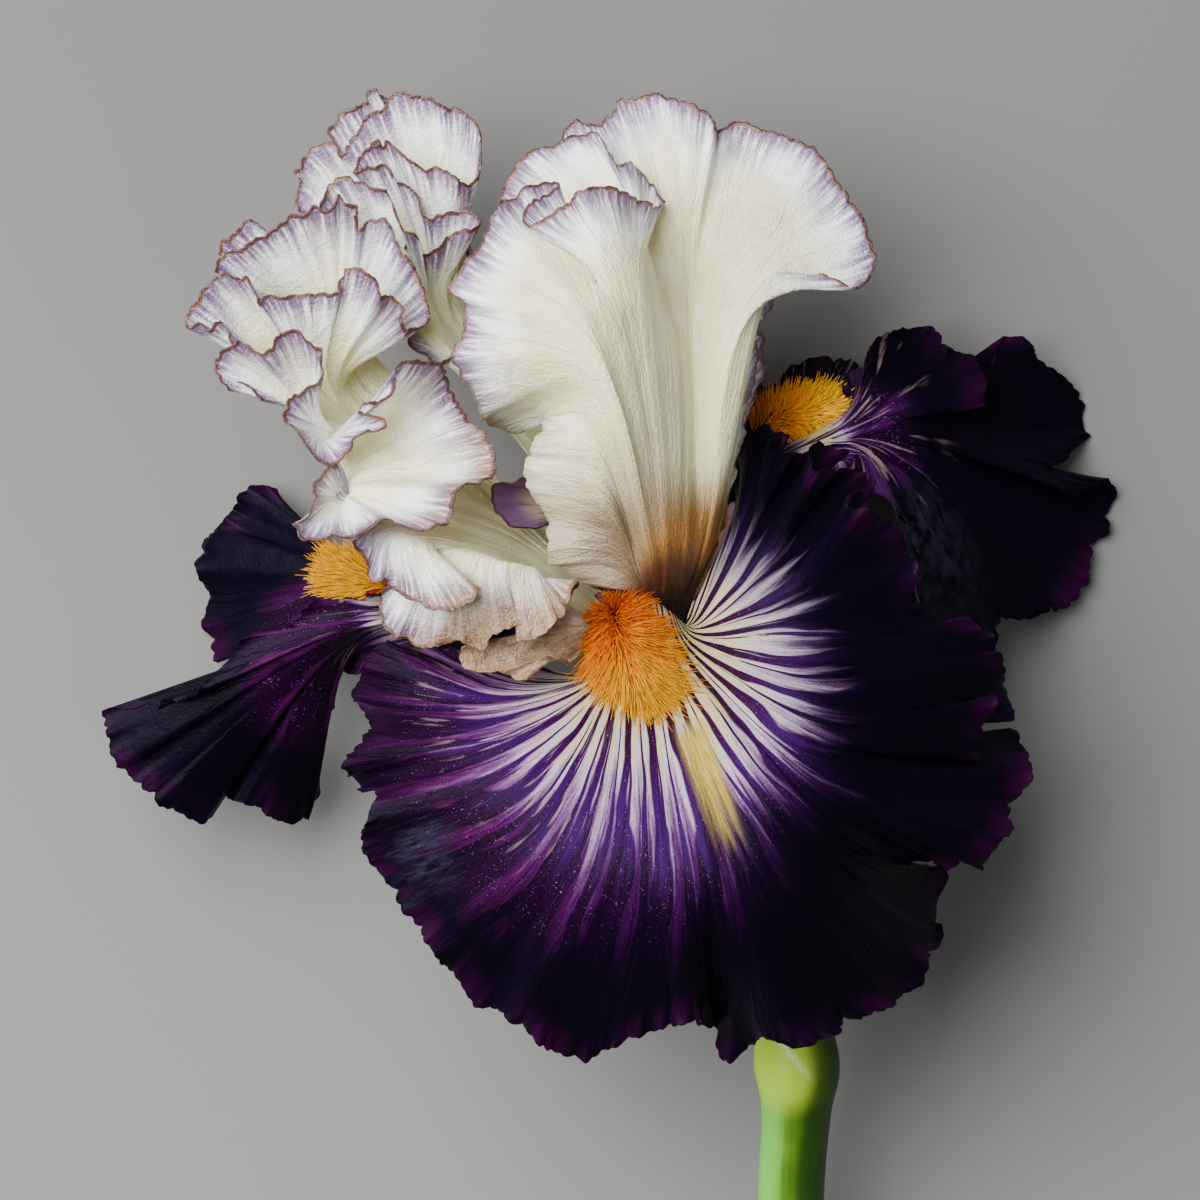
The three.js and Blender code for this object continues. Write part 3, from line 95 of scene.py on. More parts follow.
FALL_FRONT = {
    "slot": "fall", "angle": 0, "turn": 1, "frill": 1.25, "pleat": 0.35, "seed": 11,
    "rim": [
        (560, 672, 5), (500, 668, 6), (440, 655, 6), (385, 641, 6), (366, 655, 6), (358, 680, 4),
        (350, 693, 2), (357, 706, 4), (366, 719, 8), (362, 736, 12), (346, 752, 14), (341, 767, 13),
        (350, 779, 11), (357, 792, 13), (374, 796, 18), (368, 812, 20), (361, 832, 18), (361, 852, 15),
        (375, 872, 15), (401, 908, 16), (429, 946, 18), (453, 981, 16), (479, 1006, 14), (506, 1015, 17),
        (519, 1031, 18), (552, 1051, 15), (584, 1061, 13), (612, 1048, 16), (652, 1033, 19), (688, 1019, 22),
        (706, 1028, 18), (719, 1030, 12), (724, 1048, 9), (736, 1057, 10), (754, 1047, 14), (762, 1038, 18),
        (795, 1045, 20), (824, 1037, 18), (848, 1025, 15), (888, 1011, 12), (903, 999, 9), (920, 982, 6),
        (925, 960, 4), (940, 946, 0), (931, 929, -2), (938, 912, -4), (938, 895, -4), (943, 879, -5),
        (927, 870, -2), (908, 874, 1), (895, 880, 5), (910, 862, 8), (920, 857, 9), (938, 859, 10),
        (953, 869, 11), (970, 860, 11), (984, 873, 12), (1000, 846, 11), (1013, 833, 8), (1012, 809, 6),
        (1024, 788, 4), (1027, 767, 2), (1022, 747, -1), (1013, 728, -3), (1000, 740, 0), (985, 765, 6),
        (982, 753, 9), (986, 736, 9), (993, 719, 9), (998, 698, 8), (1012, 724, 4), (1016, 709, 2),
        (1013, 685, 2), (1004, 654, 3), (997, 650, 3), (989, 637, 3), (975, 623, 4), (961, 620, 5),
        (953, 631, 6), (944, 641, 7), (933, 634, 8), (919, 603, 8), (916, 569, 7), (910, 547, 5),
        (902, 527, 5), (880, 513, 7), (857, 508, 8), (847, 500, 7), (849, 493, 4), (866, 489, 1),
        (880, 489, 0), (871, 480, -2), (852, 468, -2), (837, 467, 2), (823, 468, 5), (812, 466, 5),
        (815, 455, 2), (820, 440, -1), (832, 446, -4), (846, 453, -5), (808, 449, -3), (793, 453, 1),
        (773, 451, 2), (767, 438, 0), (790, 437, -4), (775, 425, -4), (764, 423, -4), (756, 429, -3),
        (748, 436, -3), (746, 465, -3), (743, 490, -2), (739, 515, 0), (726, 552, 3), (708, 585, 5),
        (692, 603, 6),
    ],
    "spokes": [
        ((560, 672), (619, 636, 4), (608, 670, 6), (587, 674, 5)),
        ((385, 641), (616, 628, 6), (596, 676, 11), (500, 690, 11)),
        ((341, 767), (616, 621, 7), (596, 684, 16), (492, 740, 23)),
        ((361, 852), (618, 615, 8), (602, 692, 19), (512, 790, 28)),
        ((453, 981), (624, 609, 9), (613, 698, 21), (560, 850, 31)),
        ((584, 1061), (634, 605, 10), (632, 704, 22), (625, 880, 33)),
        ((688, 1019), (644, 603, 10), (655, 702, 22), (684, 885, 34)),
        ((795, 1045), (653, 604, 10), (672, 692, 22), (740, 875, 33)),
        ((940, 946), (660, 606, 10), (685, 676, 21), (795, 830, 30)),
        ((1000, 846), (666, 610, 9), (694, 662, 19), (820, 780, 27)),
        ((1004, 654), (671, 615, 8), (701, 648, 17), (828, 690, 24)),
        ((916, 569), (675, 620, 7), (704, 634, 14), (808, 610, 18)),
        ((812, 466), (678, 626, 6), (704, 622, 11), (765, 550, 12)),
        ((748, 436), (679, 631, 5), (701, 614, 9), (736, 528, 6)),
        ((692, 603), (678, 636, 4), (686, 622, 7), (690, 612, 7)),
    ],
}

FALL_RIGHT = {
    "slot": "fall", "angle": 120, "turn": -1, "frill": 1.15, "pleat": 0.35, "seed": 21,
    "rim": [
        (748, 404, -25), (757, 383, -27), (779, 381, -28), (793, 367, -29), (812, 359, -30), (837, 354, -30),
        (851, 360, -29), (861, 368, -27), (862, 385, -24), (852, 392, -20), (847, 381, -17), (853, 370, -18),
        (866, 360, -19), (868, 349, -20), (882, 334, -21), (902, 326, -22), (930, 326, -23), (941, 334, -23),
        (958, 350, -22), (975, 352, -22), (983, 364, -21), (988, 381, -20), (986, 408, -19), (990, 372, -26),
        (997, 356, -27), (1003, 339, -28), (1011, 336, -29), (1028, 339, -30), (1034, 349, -31),
        (1048, 364, -33), (1065, 377, -35), (1079, 390, -37), (1089, 407, -38), (1087, 426, -38),
        (1092, 433, -38), (1084, 443, -36), (1070, 457, -32), (1055, 468, -28), (1067, 489, -27),
        (1093, 487, -32), (1112, 482, -36), (1117, 496, -38), (1111, 516, -37), (1107, 536, -37),
        (1093, 550, -36), (1091, 572, -36), (1083, 592, -36), (1068, 610, -35), (1056, 609, -33),
        (1040, 617, -31), (1023, 621, -28), (1009, 618, -25), (1003, 628, -24), (1002, 640, -23),
        (997, 648, -21), (960, 640, -16), (936, 635, -12), (922, 581, -10), (919, 547, -9), (900, 510, -9),
        (870, 480, -10), (853, 466, -11), (832, 482, -12), (800, 502, -13), (772, 520, -13), (750, 540, -13),
    ],
    "spokes": [
        ((748, 404), (684, 622, -14), (712, 500, -22), (742, 440, -23)),
        ((793, 367), (687, 620, -14), (716, 496, -22), (785, 412, -23)),
        ((861, 368), (690, 618, -13), (720, 493, -21), (828, 404, -21)),
        ((847, 381), (692, 618, -13), (724, 492, -20), (838, 412, -19)),
        ((902, 326), (694, 618, -12), (728, 492, -19), (850, 418, -16)),
        ((986, 408), (696, 619, -12), (731, 493, -18), (862, 428, -15)),
        ((1048, 364), (697, 620, -12), (734, 495, -18), (868, 432, -14)),
        ((1112, 482), (698, 622, -11), (737, 498, -17), (872, 438, -14)),
        ((1023, 621), (698, 624, -11), (740, 502, -17), (868, 446, -13)),
        ((922, 581), (698, 626, -11), (742, 507, -16), (858, 452, -13)),
        ((853, 466), (698, 628, -10), (742, 511, -16), (838, 460, -14)),
        ((800, 502), (697, 630, -10), (741, 518, -16), (788, 492, -16)),
        ((750, 540), (695, 632, -10), (731, 544, -15), (742, 534, -15)),
    ],
}

FALL_LEFT = {
    "slot": "fall", "angle": -120, "turn": 1, "frill": 1.15, "pleat": 0.35, "seed": 31,
    "rim": [
        (520, 560, -24), (378, 545, -28), (348, 550, -30), (316, 544, -32), (292, 520, -33), (275, 499, -34),
        (265, 490, -35), (254, 487, -36), (241, 495, -37), (234, 510, -38), (222, 523, -38), (211, 524, -38),
        (202, 534, -38), (194, 555, -38), (194, 571, -38), (203, 590, -38), (205, 603, -38), (199, 617, -37),
        (200, 627, -37), (207, 641, -36), (210, 660, -35), (218, 664, -34), (240, 655, -31), (290, 632, -25),
        (340, 608, -19), (372, 598, -16), (359, 611, -12), (337, 601, -10), (318, 598, -10), (302, 606, -10),
        (296, 617, -11), (286, 633, -11), (270, 644, -11), (257, 635, -10), (241, 640, -10), (233, 649, -10),
        (231, 660, -10), (209, 678, -11), (190, 697, -11), (163, 702, -14), (154, 709, -16), (101, 711, -19),
        (104, 724, -19), (108, 748, -19), (115, 769, -19), (125, 773, -20), (142, 791, -20), (154, 795, -20),
        (155, 803, -20), (171, 812, -21), (195, 824, -23), (209, 815, -25), (211, 802, -25), (225, 798, -24),
        (241, 806, -23), (254, 806, -23), (267, 818, -24), (289, 824, -26), (300, 818, -27), (310, 819, -28),
        (312, 783, -28), (316, 748, -27), (326, 708, -25), (337, 673, -22), (355, 672, -20), (377, 655, -18),
        (470, 650, -18),
    ],
    "spokes": [
        ((520, 560), (628, 628, -14), (590, 600, -20), (555, 582, -22)),
        ((316, 544), (622, 626, -15), (520, 590, -23), (400, 572, -23)),
        ((241, 495), (619, 627, -15), (505, 593, -22), (375, 574, -22)),
        ((199, 617), (617, 629, -15), (495, 597, -21), (370, 582, -20)),
        ((290, 632), (615, 631, -14), (488, 602, -20), (375, 590, -17)),
        ((337, 601), (614, 633, -14), (484, 607, -19), (378, 603, -12)),
        ((270, 644), (613, 635, -14), (480, 611, -18), (368, 616, -9)),
        ((190, 697), (613, 637, -13), (478, 615, -17), (352, 627, -8)),
        ((125, 773), (613, 639, -13), (478, 619, -17), (345, 634, -9)),
        ((209, 815), (614, 641, -12), (480, 623, -16), (348, 640, -11)),
        ((310, 819), (615, 643, -12), (484, 627, -16), (356, 644, -14)),
        ((377, 655), (617, 645, -11), (500, 634, -16), (400, 646, -16)),
        ((470, 650), (622, 648, -10), (560, 642, -15), (500, 646, -17)),
    ],
}

STANDARD_RIGHT = {
    "slot": "standard", "angle": 60, "turn": 1, "frill": 0.8, "pleat": 0.8, "seed": 41,
    "rim": [
        (583, 584, 10), (576, 575, 11), (563, 571, 12), (549, 557, 13), (550, 545, 14), (545, 527, 14),
        (539, 507, 14), (534, 498, 14), (527, 480, 14), (522, 463, 15), (528, 453, 16), (534, 440, 16),
        (543, 427, 14), (540, 414, 10), (525, 429, 4), (517, 433, 2), (494, 428, 1), (482, 419, 5),
        (478, 412, 10), (469, 391, 13), (460, 372, 15), (454, 354, 16), (460, 335, 17), (463, 311, 17),
        (460, 299, 17), (448, 288, 16), (460, 271, 16), (472, 253, 16), (481, 231, 16), (493, 210, 15),
        (503, 198, 13), (512, 195, 12), (521, 187, 11), (542, 182, 9), (556, 181, 8), (556, 188, 9),
        (536, 198, 12), (523, 210, 15), (523, 225, 18), (533, 222, 20), (552, 210, 21), (570, 198, 21),
        (579, 189, 20), (604, 186, 18), (619, 192, 16), (634, 199, 13), (656, 207, 8), (657, 200, 5),
        (656, 189, 2), (643, 173, 0), (634, 158, 0), (619, 164, 2), (612, 158, 1), (600, 136, -1),
        (591, 130, -2), (570, 132, -3), (555, 143, -3), (533, 146, -3), (515, 164, -3), (503, 182, -2),
        (497, 203, 0), (520, 190, -8), (567, 126, -9), (582, 121, -9), (600, 121, -8), (616, 109, -7),
        (617, 98, -7), (634, 98, -7), (656, 91, -6), (674, 97, -5), (695, 103, -4), (708, 110, -4),
        (717, 124, -3), (721, 129, -6), (735, 121, -8), (757, 126, -8), (787, 135, -7), (815, 147, -6),
        (827, 161, -5), (839, 179, -4), (852, 201, -3), (864, 216, -2), (871, 237, -1), (878, 259, 0),
        (870, 277, 2), (859, 288, 3), (842, 282, 3), (818, 271, 3), (803, 267, 2), (789, 268, 1),
        (786, 280, 0), (772, 305, 0), (763, 320, 1), (755, 345, 1), (748, 380, 1), (744, 427, 2),
        (737, 458, 3), (731, 489, 4), (727, 516, 4), (710, 554, 3), (694, 584, 1),
    ],
    "spokes": [
        ((583, 584), (657, 620, 1), (641, 594, 8), (612, 588, 11)),
        ((534, 498), (657, 617, 2), (637, 572, 13), (606, 515, 21)),
        ((543, 427), (657, 615, 2), (640, 563, 15), (596, 440, 23)),
        ((494, 428), (658, 614, 2), (645, 556, 16), (588, 402, 25)),
        ((463, 311), (658, 613, 2), (651, 550, 17), (592, 360, 29)),
        ((542, 182), (660, 613, 2), (658, 544, 17), (600, 318, 27)),
        ((656, 207), (662, 613, 2), (666, 540, 17), (640, 292, 21)),
        ((600, 136), (664, 613, 2), (674, 536, 16), (655, 285, 15)),
        ((520, 190), (667, 613, 1), (681, 534, 15), (660, 283, 10)),
        ((656, 91), (670, 613, 1), (688, 532, 14), (682, 272, 5)),
        ((721, 129), (672, 614, 0), (695, 531, 12), (697, 280, 4)),
        ((787, 135), (674, 615, 0), (701, 531, 11), (718, 290, 6)),
        ((878, 259), (676, 616, -1), (706, 531, 10), (744, 322, 9)),
        ((859, 288), (677, 617, -1), (709, 532, 10), (752, 315, 8)),
        ((803, 267), (678, 618, -2), (712, 533, 9), (762, 298, 6)),
        ((786, 280), (679, 619, -2), (714, 534, 8), (763, 303, 4)),
        ((763, 320), (680, 620, -3), (715, 536, 7), (752, 345, 4)),
        ((748, 380), (680, 621, -3), (715, 540, 6), (741, 400, 4)),
        ((737, 458), (680, 622, -4), (713, 546, 5), (729, 480, 5)),
        ((694, 584), (680, 625, -4), (687, 602, -1), (690, 594, 0)),
    ],
}

STANDARD_LEFT = {
    "slot": "standard", "angle": -60, "turn": -1, "frill": 0.8, "pleat": 0.8, "seed": 51,
    "rim": [
        (567, 666, 13), (557, 650, 14), (540, 655, 14), (521, 680, 14), (502, 673, 14), (476, 673, 14),
        (458, 662, 14), (466, 642, 14), (510, 634, 14), (555, 612, 14), (581, 584, 16), (570, 600, 17),
        (565, 616, 18), (556, 627, 18), (543, 638, 18), (529, 643, 18), (520, 641, 17), (518, 632, 17),
        (520, 625, 17), (504, 632, 18), (493, 638, 18), (486, 645, 18), (479, 654, 17), (465, 645, 17),
        (454, 645, 17), (440, 648, 17), (417, 650, 16), (404, 640, 16), (393, 639, 16), (384, 632, 15),
        (379, 623, 15), (378, 607, 15), (388, 591, 16), (430, 590, 18), (468, 588, 20), (480, 593, 22),
        (475, 602, 23), (465, 607, 23), (447, 613, 22), (433, 612, 22), (417, 603, 22), (401, 595, 22),
        (390, 589, 21), (385, 583, 21), (374, 585, 21), (367, 580, 20), (367, 570, 20), (363, 559, 20),
        (353, 550, 19), (352, 541, 19), (355, 533, 17), (340, 515, 15), (330, 490, 14), (333, 470, 15),
        (326, 464, 17), (318, 473, 19), (312, 486, 20), (309, 500, 21), (307, 511, 22), (298, 520, 23),
        (289, 527, 24), (300, 538, 25), (323, 541, 26), (351, 539, 26), (362, 530, 26), (369, 526, 26),
        (380, 521, 26), (391, 521, 26), (398, 526, 26), (421, 531, 26), (437, 526, 26), (450, 518, 25),
        (455, 502, 25), (460, 493, 25), (469, 486, 24), (482, 483, 23), (497, 476, 20), (498, 461, 18),
        (497, 450, 17), (491, 440, 16), (485, 430, 14), (473, 421, 12), (465, 410, 10), (460, 400, 8),
        (454, 388, 7), (448, 374, 8), (441, 362, 11), (428, 363, 13), (416, 360, 15), (401, 362, 16),
        (393, 368, 16), (393, 379, 16), (388, 387, 16), (376, 398, 16), (364, 401, 15), (359, 409, 15),
        (377, 415, 16), (384, 421, 17), (378, 427, 18), (368, 427, 18), (362, 434, 18), (358, 444, 18),
        (348, 452, 17), (343, 460, 17), (331, 462, 17), (318, 457, 17), (304, 446, 17), (295, 434, 17),
        (284, 425, 16), (282, 415, 16), (287, 403, 17), (295, 394, 18), (304, 388, 19), (314, 383, 20),
        (322, 373, 21), (323, 360, 21), (321, 348, 21), (312, 336, 20), (302, 327, 20), (291, 326, 20),
        (280, 329, 19), (272, 337, 19), (266, 346, 19), (258, 351, 19), (249, 346, 18), (237, 337, 18),
        (228, 340, 18), (218, 352, 17), (213, 362, 17), (214, 371, 17), (221, 383, 17), (232, 387, 16),
        (247, 393, 16), (262, 398, 15), (250, 378, 14), (238, 350, 14), (226, 331, 13), (221, 323, 12),
        (212, 322, 13), (209, 328, 13), (199, 321, 13), (188, 326, 12), (185, 318, 12), (190, 308, 12),
        (197, 297, 12), (205, 285, 12), (214, 276, 12), (226, 272, 13), (231, 277, 13), (243, 278, 13),
        (246, 287, 13), (255, 295, 13), (256, 303, 13), (266, 297, 13), (283, 297, 13), (314, 295, 13),
        (325, 292, 13), (337, 290, 13), (340, 279, 13), (344, 271, 14), (352, 266, 14), (362, 267, 14),
        (371, 272, 14), (378, 279, 14), (380, 289, 14), (383, 297, 14), (392, 298, 13), (398, 304, 12),
        (399, 316, 12), (405, 326, 11), (411, 335, 10), (425, 327, 8), (431, 314, 8), (430, 299, 8),
        (426, 283, 8), (417, 268, 8), (410, 256, 9), (402, 250, 9), (396, 237, 9), (390, 224, 9),
        (384, 214, 9), (377, 219, 9), (368, 221, 9), (362, 227, 9), (356, 226, 9), (356, 219, 8),
        (361, 210, 7), (356, 203, 7), (346, 201, 8), (339, 193, 8), (331, 204, 8), (325, 209, 8),
        (314, 204, 8), (302, 212, 8), (293, 212, 8), (279, 221, 8), (264, 233, 7), (251, 237, 7),
        (241, 247, 7), (226, 254, 6), (214, 262, 5), (215, 269, 3), (222, 262, 1), (218, 256, 0),
        (216, 251, 0), (220, 239, 0), (232, 232, 1), (237, 226, 1), (247, 219, 1), (254, 223, 0),
        (262, 232, -1), (300, 260, -2),
    ],
    "spokes": [
        ((567, 666), (626, 640, -1), (592, 648, 8), (578, 657, 12)),
        ((521, 680), (624, 637, 0), (588, 640, 9), (554, 655, 13)),
        ((466, 642), (622, 634, 0), (583, 630, 10), (540, 640, 12)),
        ((581, 584), (620, 631, 0), (574, 614, 11), (548, 584, 14)),
        ((520, 625), (618, 629, 0), (560, 600, 10), (502, 565, 18)),
        ((417, 650), (616, 627, 0), (546, 588, 9), (455, 551, 19)),
        ((388, 591), (615, 625, 0), (539, 580, 8), (440, 549, 18)),
        ((468, 588), (614, 623, 0), (534, 574, 8), (436, 546, 19)),
        ((401, 595), (613, 621, 0), (528, 567, 7), (410, 534, 20)),
        ((352, 541), (612, 619, -1), (520, 558, 6), (388, 524, 17)),
        ((326, 464), (611, 617, -1), (514, 549, 5), (362, 505, 12)),
        ((323, 541), (610, 615, -1), (508, 541, 4), (354, 500, 14)),
        ((421, 531), (610, 614, -1), (503, 534, 3), (352, 494, 15)),
        ((497, 476), (609, 612, -2), (499, 528, 3), (350, 487, 14)),
        ((448, 374), (608, 611, -2), (496, 522, 2), (348, 478, 11)),
        ((393, 379), (607, 610, -2), (493, 517, 2), (344, 465, 10)),
        ((359, 409), (607, 609, -2), (491, 512, 2), (340, 452, 10)),
        ((304, 446), (606, 608, -2), (489, 507, 1), (336, 440, 10)),
        ((322, 373), (606, 607, -2), (487, 503, 1), (335, 430, 11)),
        ((213, 362), (605, 606, -2), (485, 499, 1), (334, 423, 11)),
        ((238, 350), (605, 605, -3), (484, 495, 0), (335, 416, 8)),
        ((214, 276), (604, 604, -3), (483, 491, 0), (336, 408, 4)),
        ((340, 279), (604, 603, -3), (482, 487, 0), (338, 400, 4)),
        ((411, 335), (603, 602, -4), (482, 483, -1), (346, 391, 2)),
        ((396, 237), (603, 601, -4), (482, 479, -1), (352, 378, 0)),
        ((293, 212), (602, 600, -5), (482, 475, -2), (354, 362, -1)),
        ((215, 269), (602, 599, -5), (482, 471, -2), (354, 350, -3)),
        ((300, 260), (602, 598, -6), (483, 467, -3), (358, 340, -5)),
    ],
}

STANDARD_REAR = {
    "slot": "standard", "angle": 180, "turn": 1, "frill": 0.8, "pleat": 0.8, "seed": 61,
    "rim": [
        (702, 566, -15), (726, 480, -14), (745, 430, -13), (758, 388, -12), (767, 368, -12), (763, 351, -12),
        (761, 329, -13), (700, 300, -15), (600, 290, -16), (520, 300, -16), (480, 300, -16), (466, 240, -17),
        (440, 200, -18), (380, 225, -18), (307, 212, -17), (298, 209, -16), (294, 199, -16), (296, 189, -16),
        (298, 179, -16), (293, 172, -16), (298, 167, -16), (301, 157, -16), (308, 150, -16), (315, 144, -16),
        (330, 139, -16), (385, 100, -16), (382, 92, -15), (378, 87, -14), (371, 88, -14), (366, 90, -14),
        (367, 101, -14), (359, 102, -14), (350, 108, -14), (339, 111, -14), (336, 119, -14), (326, 129, -14),
        (330, 141, -13), (339, 153, -12), (347, 143, -11), (353, 133, -11), (359, 127, -11), (364, 117, -11),
        (375, 109, -11), (384, 106, -11), (391, 92, -10), (409, 92, -9), (429, 95, -9), (436, 99, -9),
        (448, 106, -9), (453, 104, -9), (461, 109, -9), (471, 117, -9), (478, 126, -9), (481, 134, -9),
        (478, 144, -9), (481, 151, -9), (479, 161, -9), (477, 169, -9), (469, 182, -8), (461, 179, -6),
        (454, 173, -6), (446, 168, -6), (436, 164, -6), (427, 166, -6), (417, 161, -6), (402, 150, -6),
        (389, 140, -6), (384, 139, -6), (381, 144, -6), (378, 137, -6), (375, 143, -6), (368, 144, -6),
        (356, 158, -6), (352, 171, -5), (359, 168, -4), (367, 163, -4), (375, 166, -4), (381, 162, -4),
        (387, 167, -4), (391, 179, -4), (403, 183, -4), (410, 188, -4), (415, 196, -4), (417, 204, -4),
        (422, 211, -4), (427, 217, -4), (433, 216, -4), (441, 211, -4), (455, 209, -4), (468, 211, -3),
        (475, 221, -2), (462, 228, -1), (450, 234, -1), (441, 240, -1), (431, 248, -1), (422, 254, -1),
        (408, 252, 0), (402, 246, 2), (415, 240, 4), (420, 235, 4), (415, 230, 4), (406, 227, 4),
        (399, 216, 4), (395, 206, 4), (392, 195, 4), (387, 186, 4), (380, 187, 4), (367, 183, 4),
        (361, 179, 4), (353, 179, 4), (349, 174, 4), (337, 175, 4), (326, 186, 4), (323, 195, 4),
        (318, 206, 4), (340, 260, 2), (395, 310, -1), (405, 338, 0), (410, 348, 0), (419, 356, 0),
        (429, 363, 0), (438, 363, -1), (446, 358, -2), (451, 350, -4), (458, 352, -6), (468, 366, -8),
        (522, 434, -11), (582, 521, -13),
    ],
    "spokes": [
        ((702, 566), (674, 620, -14), (684, 600, -15), (694, 582, -15)),
        ((758, 388), (668, 612, -15), (671, 548, -18), (704, 470, -16)),
        ((600, 290), (664, 608, -16), (655, 530, -20), (610, 410, -19)),
        ((466, 240), (660, 606, -16), (642, 522, -20), (540, 370, -20)),
        ((298, 179), (656, 604, -16), (632, 516, -20), (478, 340, -19)),
        ((350, 108), (652, 603, -16), (624, 512, -19), (470, 325, -17)),
        ((429, 95), (649, 602, -16), (617, 508, -18), (466, 315, -14)),
        ((469, 182), (646, 602, -16), (611, 505, -17), (463, 312, -12)),
        ((384, 139), (643, 602, -15), (606, 503, -16), (459, 314, -10)),
        ((391, 179), (640, 603, -15), (601, 502, -15), (455, 318, -9)),
        ((468, 211), (638, 604, -14), (597, 502, -14), (452, 322, -8)),
        ((422, 254), (636, 605, -14), (593, 503, -13), (448, 328, -7)),
        ((395, 206), (634, 607, -13), (590, 504, -13), (446, 332, -4)),
        ((318, 206), (633, 609, -13), (586, 509, -12), (444, 346, -2)),
        ((405, 338), (632, 611, -12), (585, 514, -13), (456, 370, -4)),
        ((451, 350), (632, 613, -12), (588, 524, -14), (484, 398, -9)),
        ((582, 521), (632, 616, -12), (604, 552, -14), (595, 538, -13)),
    ],
}

STYLE_FRONT = {
    "slot": "style", "angle": 0, "turn": 1, "circle": STYLE_CIRCLE, "frill": 0.4, "pleat": 0.4, "seed": 71,
    "rim": [
        (622, 606, 3), (608, 603, 4), (594, 596, 4), (602, 590, 4), (588, 582, 4), (600, 578, 4),
        (596, 566, 4), (612, 572, 5), (618, 560, 5), (628, 570, 5), (640, 566, 5), (642, 582, 4),
        (648, 600, 2),
    ],
    "spokes": [
        ((622, 606), (642, 632, -2), (634, 618, 0), (629, 613, 2)),
        ((596, 566), (644, 628, -2), (632, 606, 1), (618, 590, 3)),
        ((640, 566), (647, 628, -2), (641, 604, 1), (636, 588, 3)),
        ((648, 600), (649, 632, -2), (648, 616, 0), (648, 608, 1)),
    ],
}

STYLE_LEFT = {
    "slot": "style", "angle": -120, "turn": 1, "circle": STYLE_CIRCLE, "frill": 0.6, "pleat": 0.5, "seed": 81,
    "rim": [
        (590, 520, -9), (578, 490, -5), (556, 478, 1), (536, 474, 6), (521, 475, 8), (510, 480, 9),
        (501, 479, 9), (492, 484, 9), (491, 492, 9), (496, 509, 9), (505, 521, 9), (516, 529, 8),
        (530, 525, 6), (545, 524, 3), (562, 530, -1), (578, 544, -6), (592, 560, -9),
    ],
    "spokes": [
        ((590, 520), (630, 606, -9), (610, 566, -10), (600, 543, -10)),
        ((521, 475), (627, 607, -9), (603, 558, -10), (574, 508, -6)),
        ((505, 521), (625, 609, -9), (601, 562, -10), (570, 516, -5)),
        ((545, 524), (622, 612, -9), (600, 568, -10), (574, 528, -6)),
        ((592, 560), (620, 616, -9), (604, 588, -10), (597, 574, -10)),
    ],
}

STYLE_RIGHT = {
    "slot": "style", "angle": 120, "turn": -1, "circle": STYLE_CIRCLE, "frill": 0.4, "pleat": 0.4, "seed": 91,
    "rim": [
        (697, 576, -10), (706, 548, -11), (712, 520, -12), (718, 506, -11), (724, 498, -11), (728, 506, -10),
        (734, 500, -10), (736, 512, -9), (730, 530, -8), (722, 556, -8), (708, 586, -8),
    ],
    "spokes": [
        ((697, 576), (676, 614, -9), (688, 594, -10), (692, 586, -10)),
        ((724, 498), (679, 613, -8), (696, 582, -9), (712, 546, -10)),
        ((730, 530), (682, 614, -8), (701, 582, -8), (717, 550, -9)),
        ((708, 586), (685, 617, -8), (700, 597, -8), (704, 592, -8)),
    ],
}


# ---------------------------------------------------------------- curves
def smooth_keys(keys, t):
    """The four keys round each t, and their weights, of a smooth curve through keys."""
    keys = np.asarray(keys, float)
    last = len(keys) - 1
    a = np.clip(np.searchsorted(keys, t, side="left") - 1, 0, last - 1)
    b = a + 1
    before = np.maximum(a - 1, 0)
    after = np.minimum(b + 1, last)
    span = keys[b] - keys[a]
    s = np.clip((t - keys[a]) / span, 0, 1)
    slope_a = (s**3 - 2 * s**2 + s) * span / (keys[b] - keys[before])
    slope_b = (s**3 - s**2) * span / (keys[after] - keys[a])
    weight_a = 2 * s**3 - 3 * s**2 + 1 - slope_b
    weight_b = 3 * s**2 - 2 * s**3 + slope_a
    return (before, a, b, after), (-slope_a, weight_a, weight_b, slope_b)


def smooth_at(keys, values, t):
    """The values at t of a smooth curve through values at keys."""
    values = np.asarray(values, float)
    picks, weights = smooth_keys(keys, np.asarray(t, float))
    return sum(values[p] * w[:, None] for p, w in zip(picks, weights))


def smoothstep(low, high, x):
    t = np.clip((x - low) / (high - low), 0, 1)
    return t * t * (3 - 2 * t)


def unit(vectors):
    """Vectors along the last axis, made 1 long."""
    return vectors / np.maximum(np.linalg.norm(vectors, axis=-1, keepdims=True), 1e-9)


def running_length(points):
    """The length along rows of points, from the first."""
    steps = np.linalg.norm(np.diff(points, axis=0), axis=-1)
    return np.concatenate([np.zeros((1,) + steps.shape[1:]), np.cumsum(steps, axis=0)])


def wander(x, wavelength, seed):
    """Repeatable smooth noise of x, from -1 to 1, that turns about every half wavelength."""
    random = np.random.default_rng(seed)
    place_on = x / wavelength * 2
    keys = np.arange(np.floor(place_on.min()) - 1, place_on.max() + 3)
    values = random.uniform(-1, 1, len(keys))
    left = np.floor(place_on)
    t = smoothstep(0, 1, place_on - left)
    index = (left - keys[0]).astype(int)
    return values[index] * (1 - t) + values[index + 1] * t


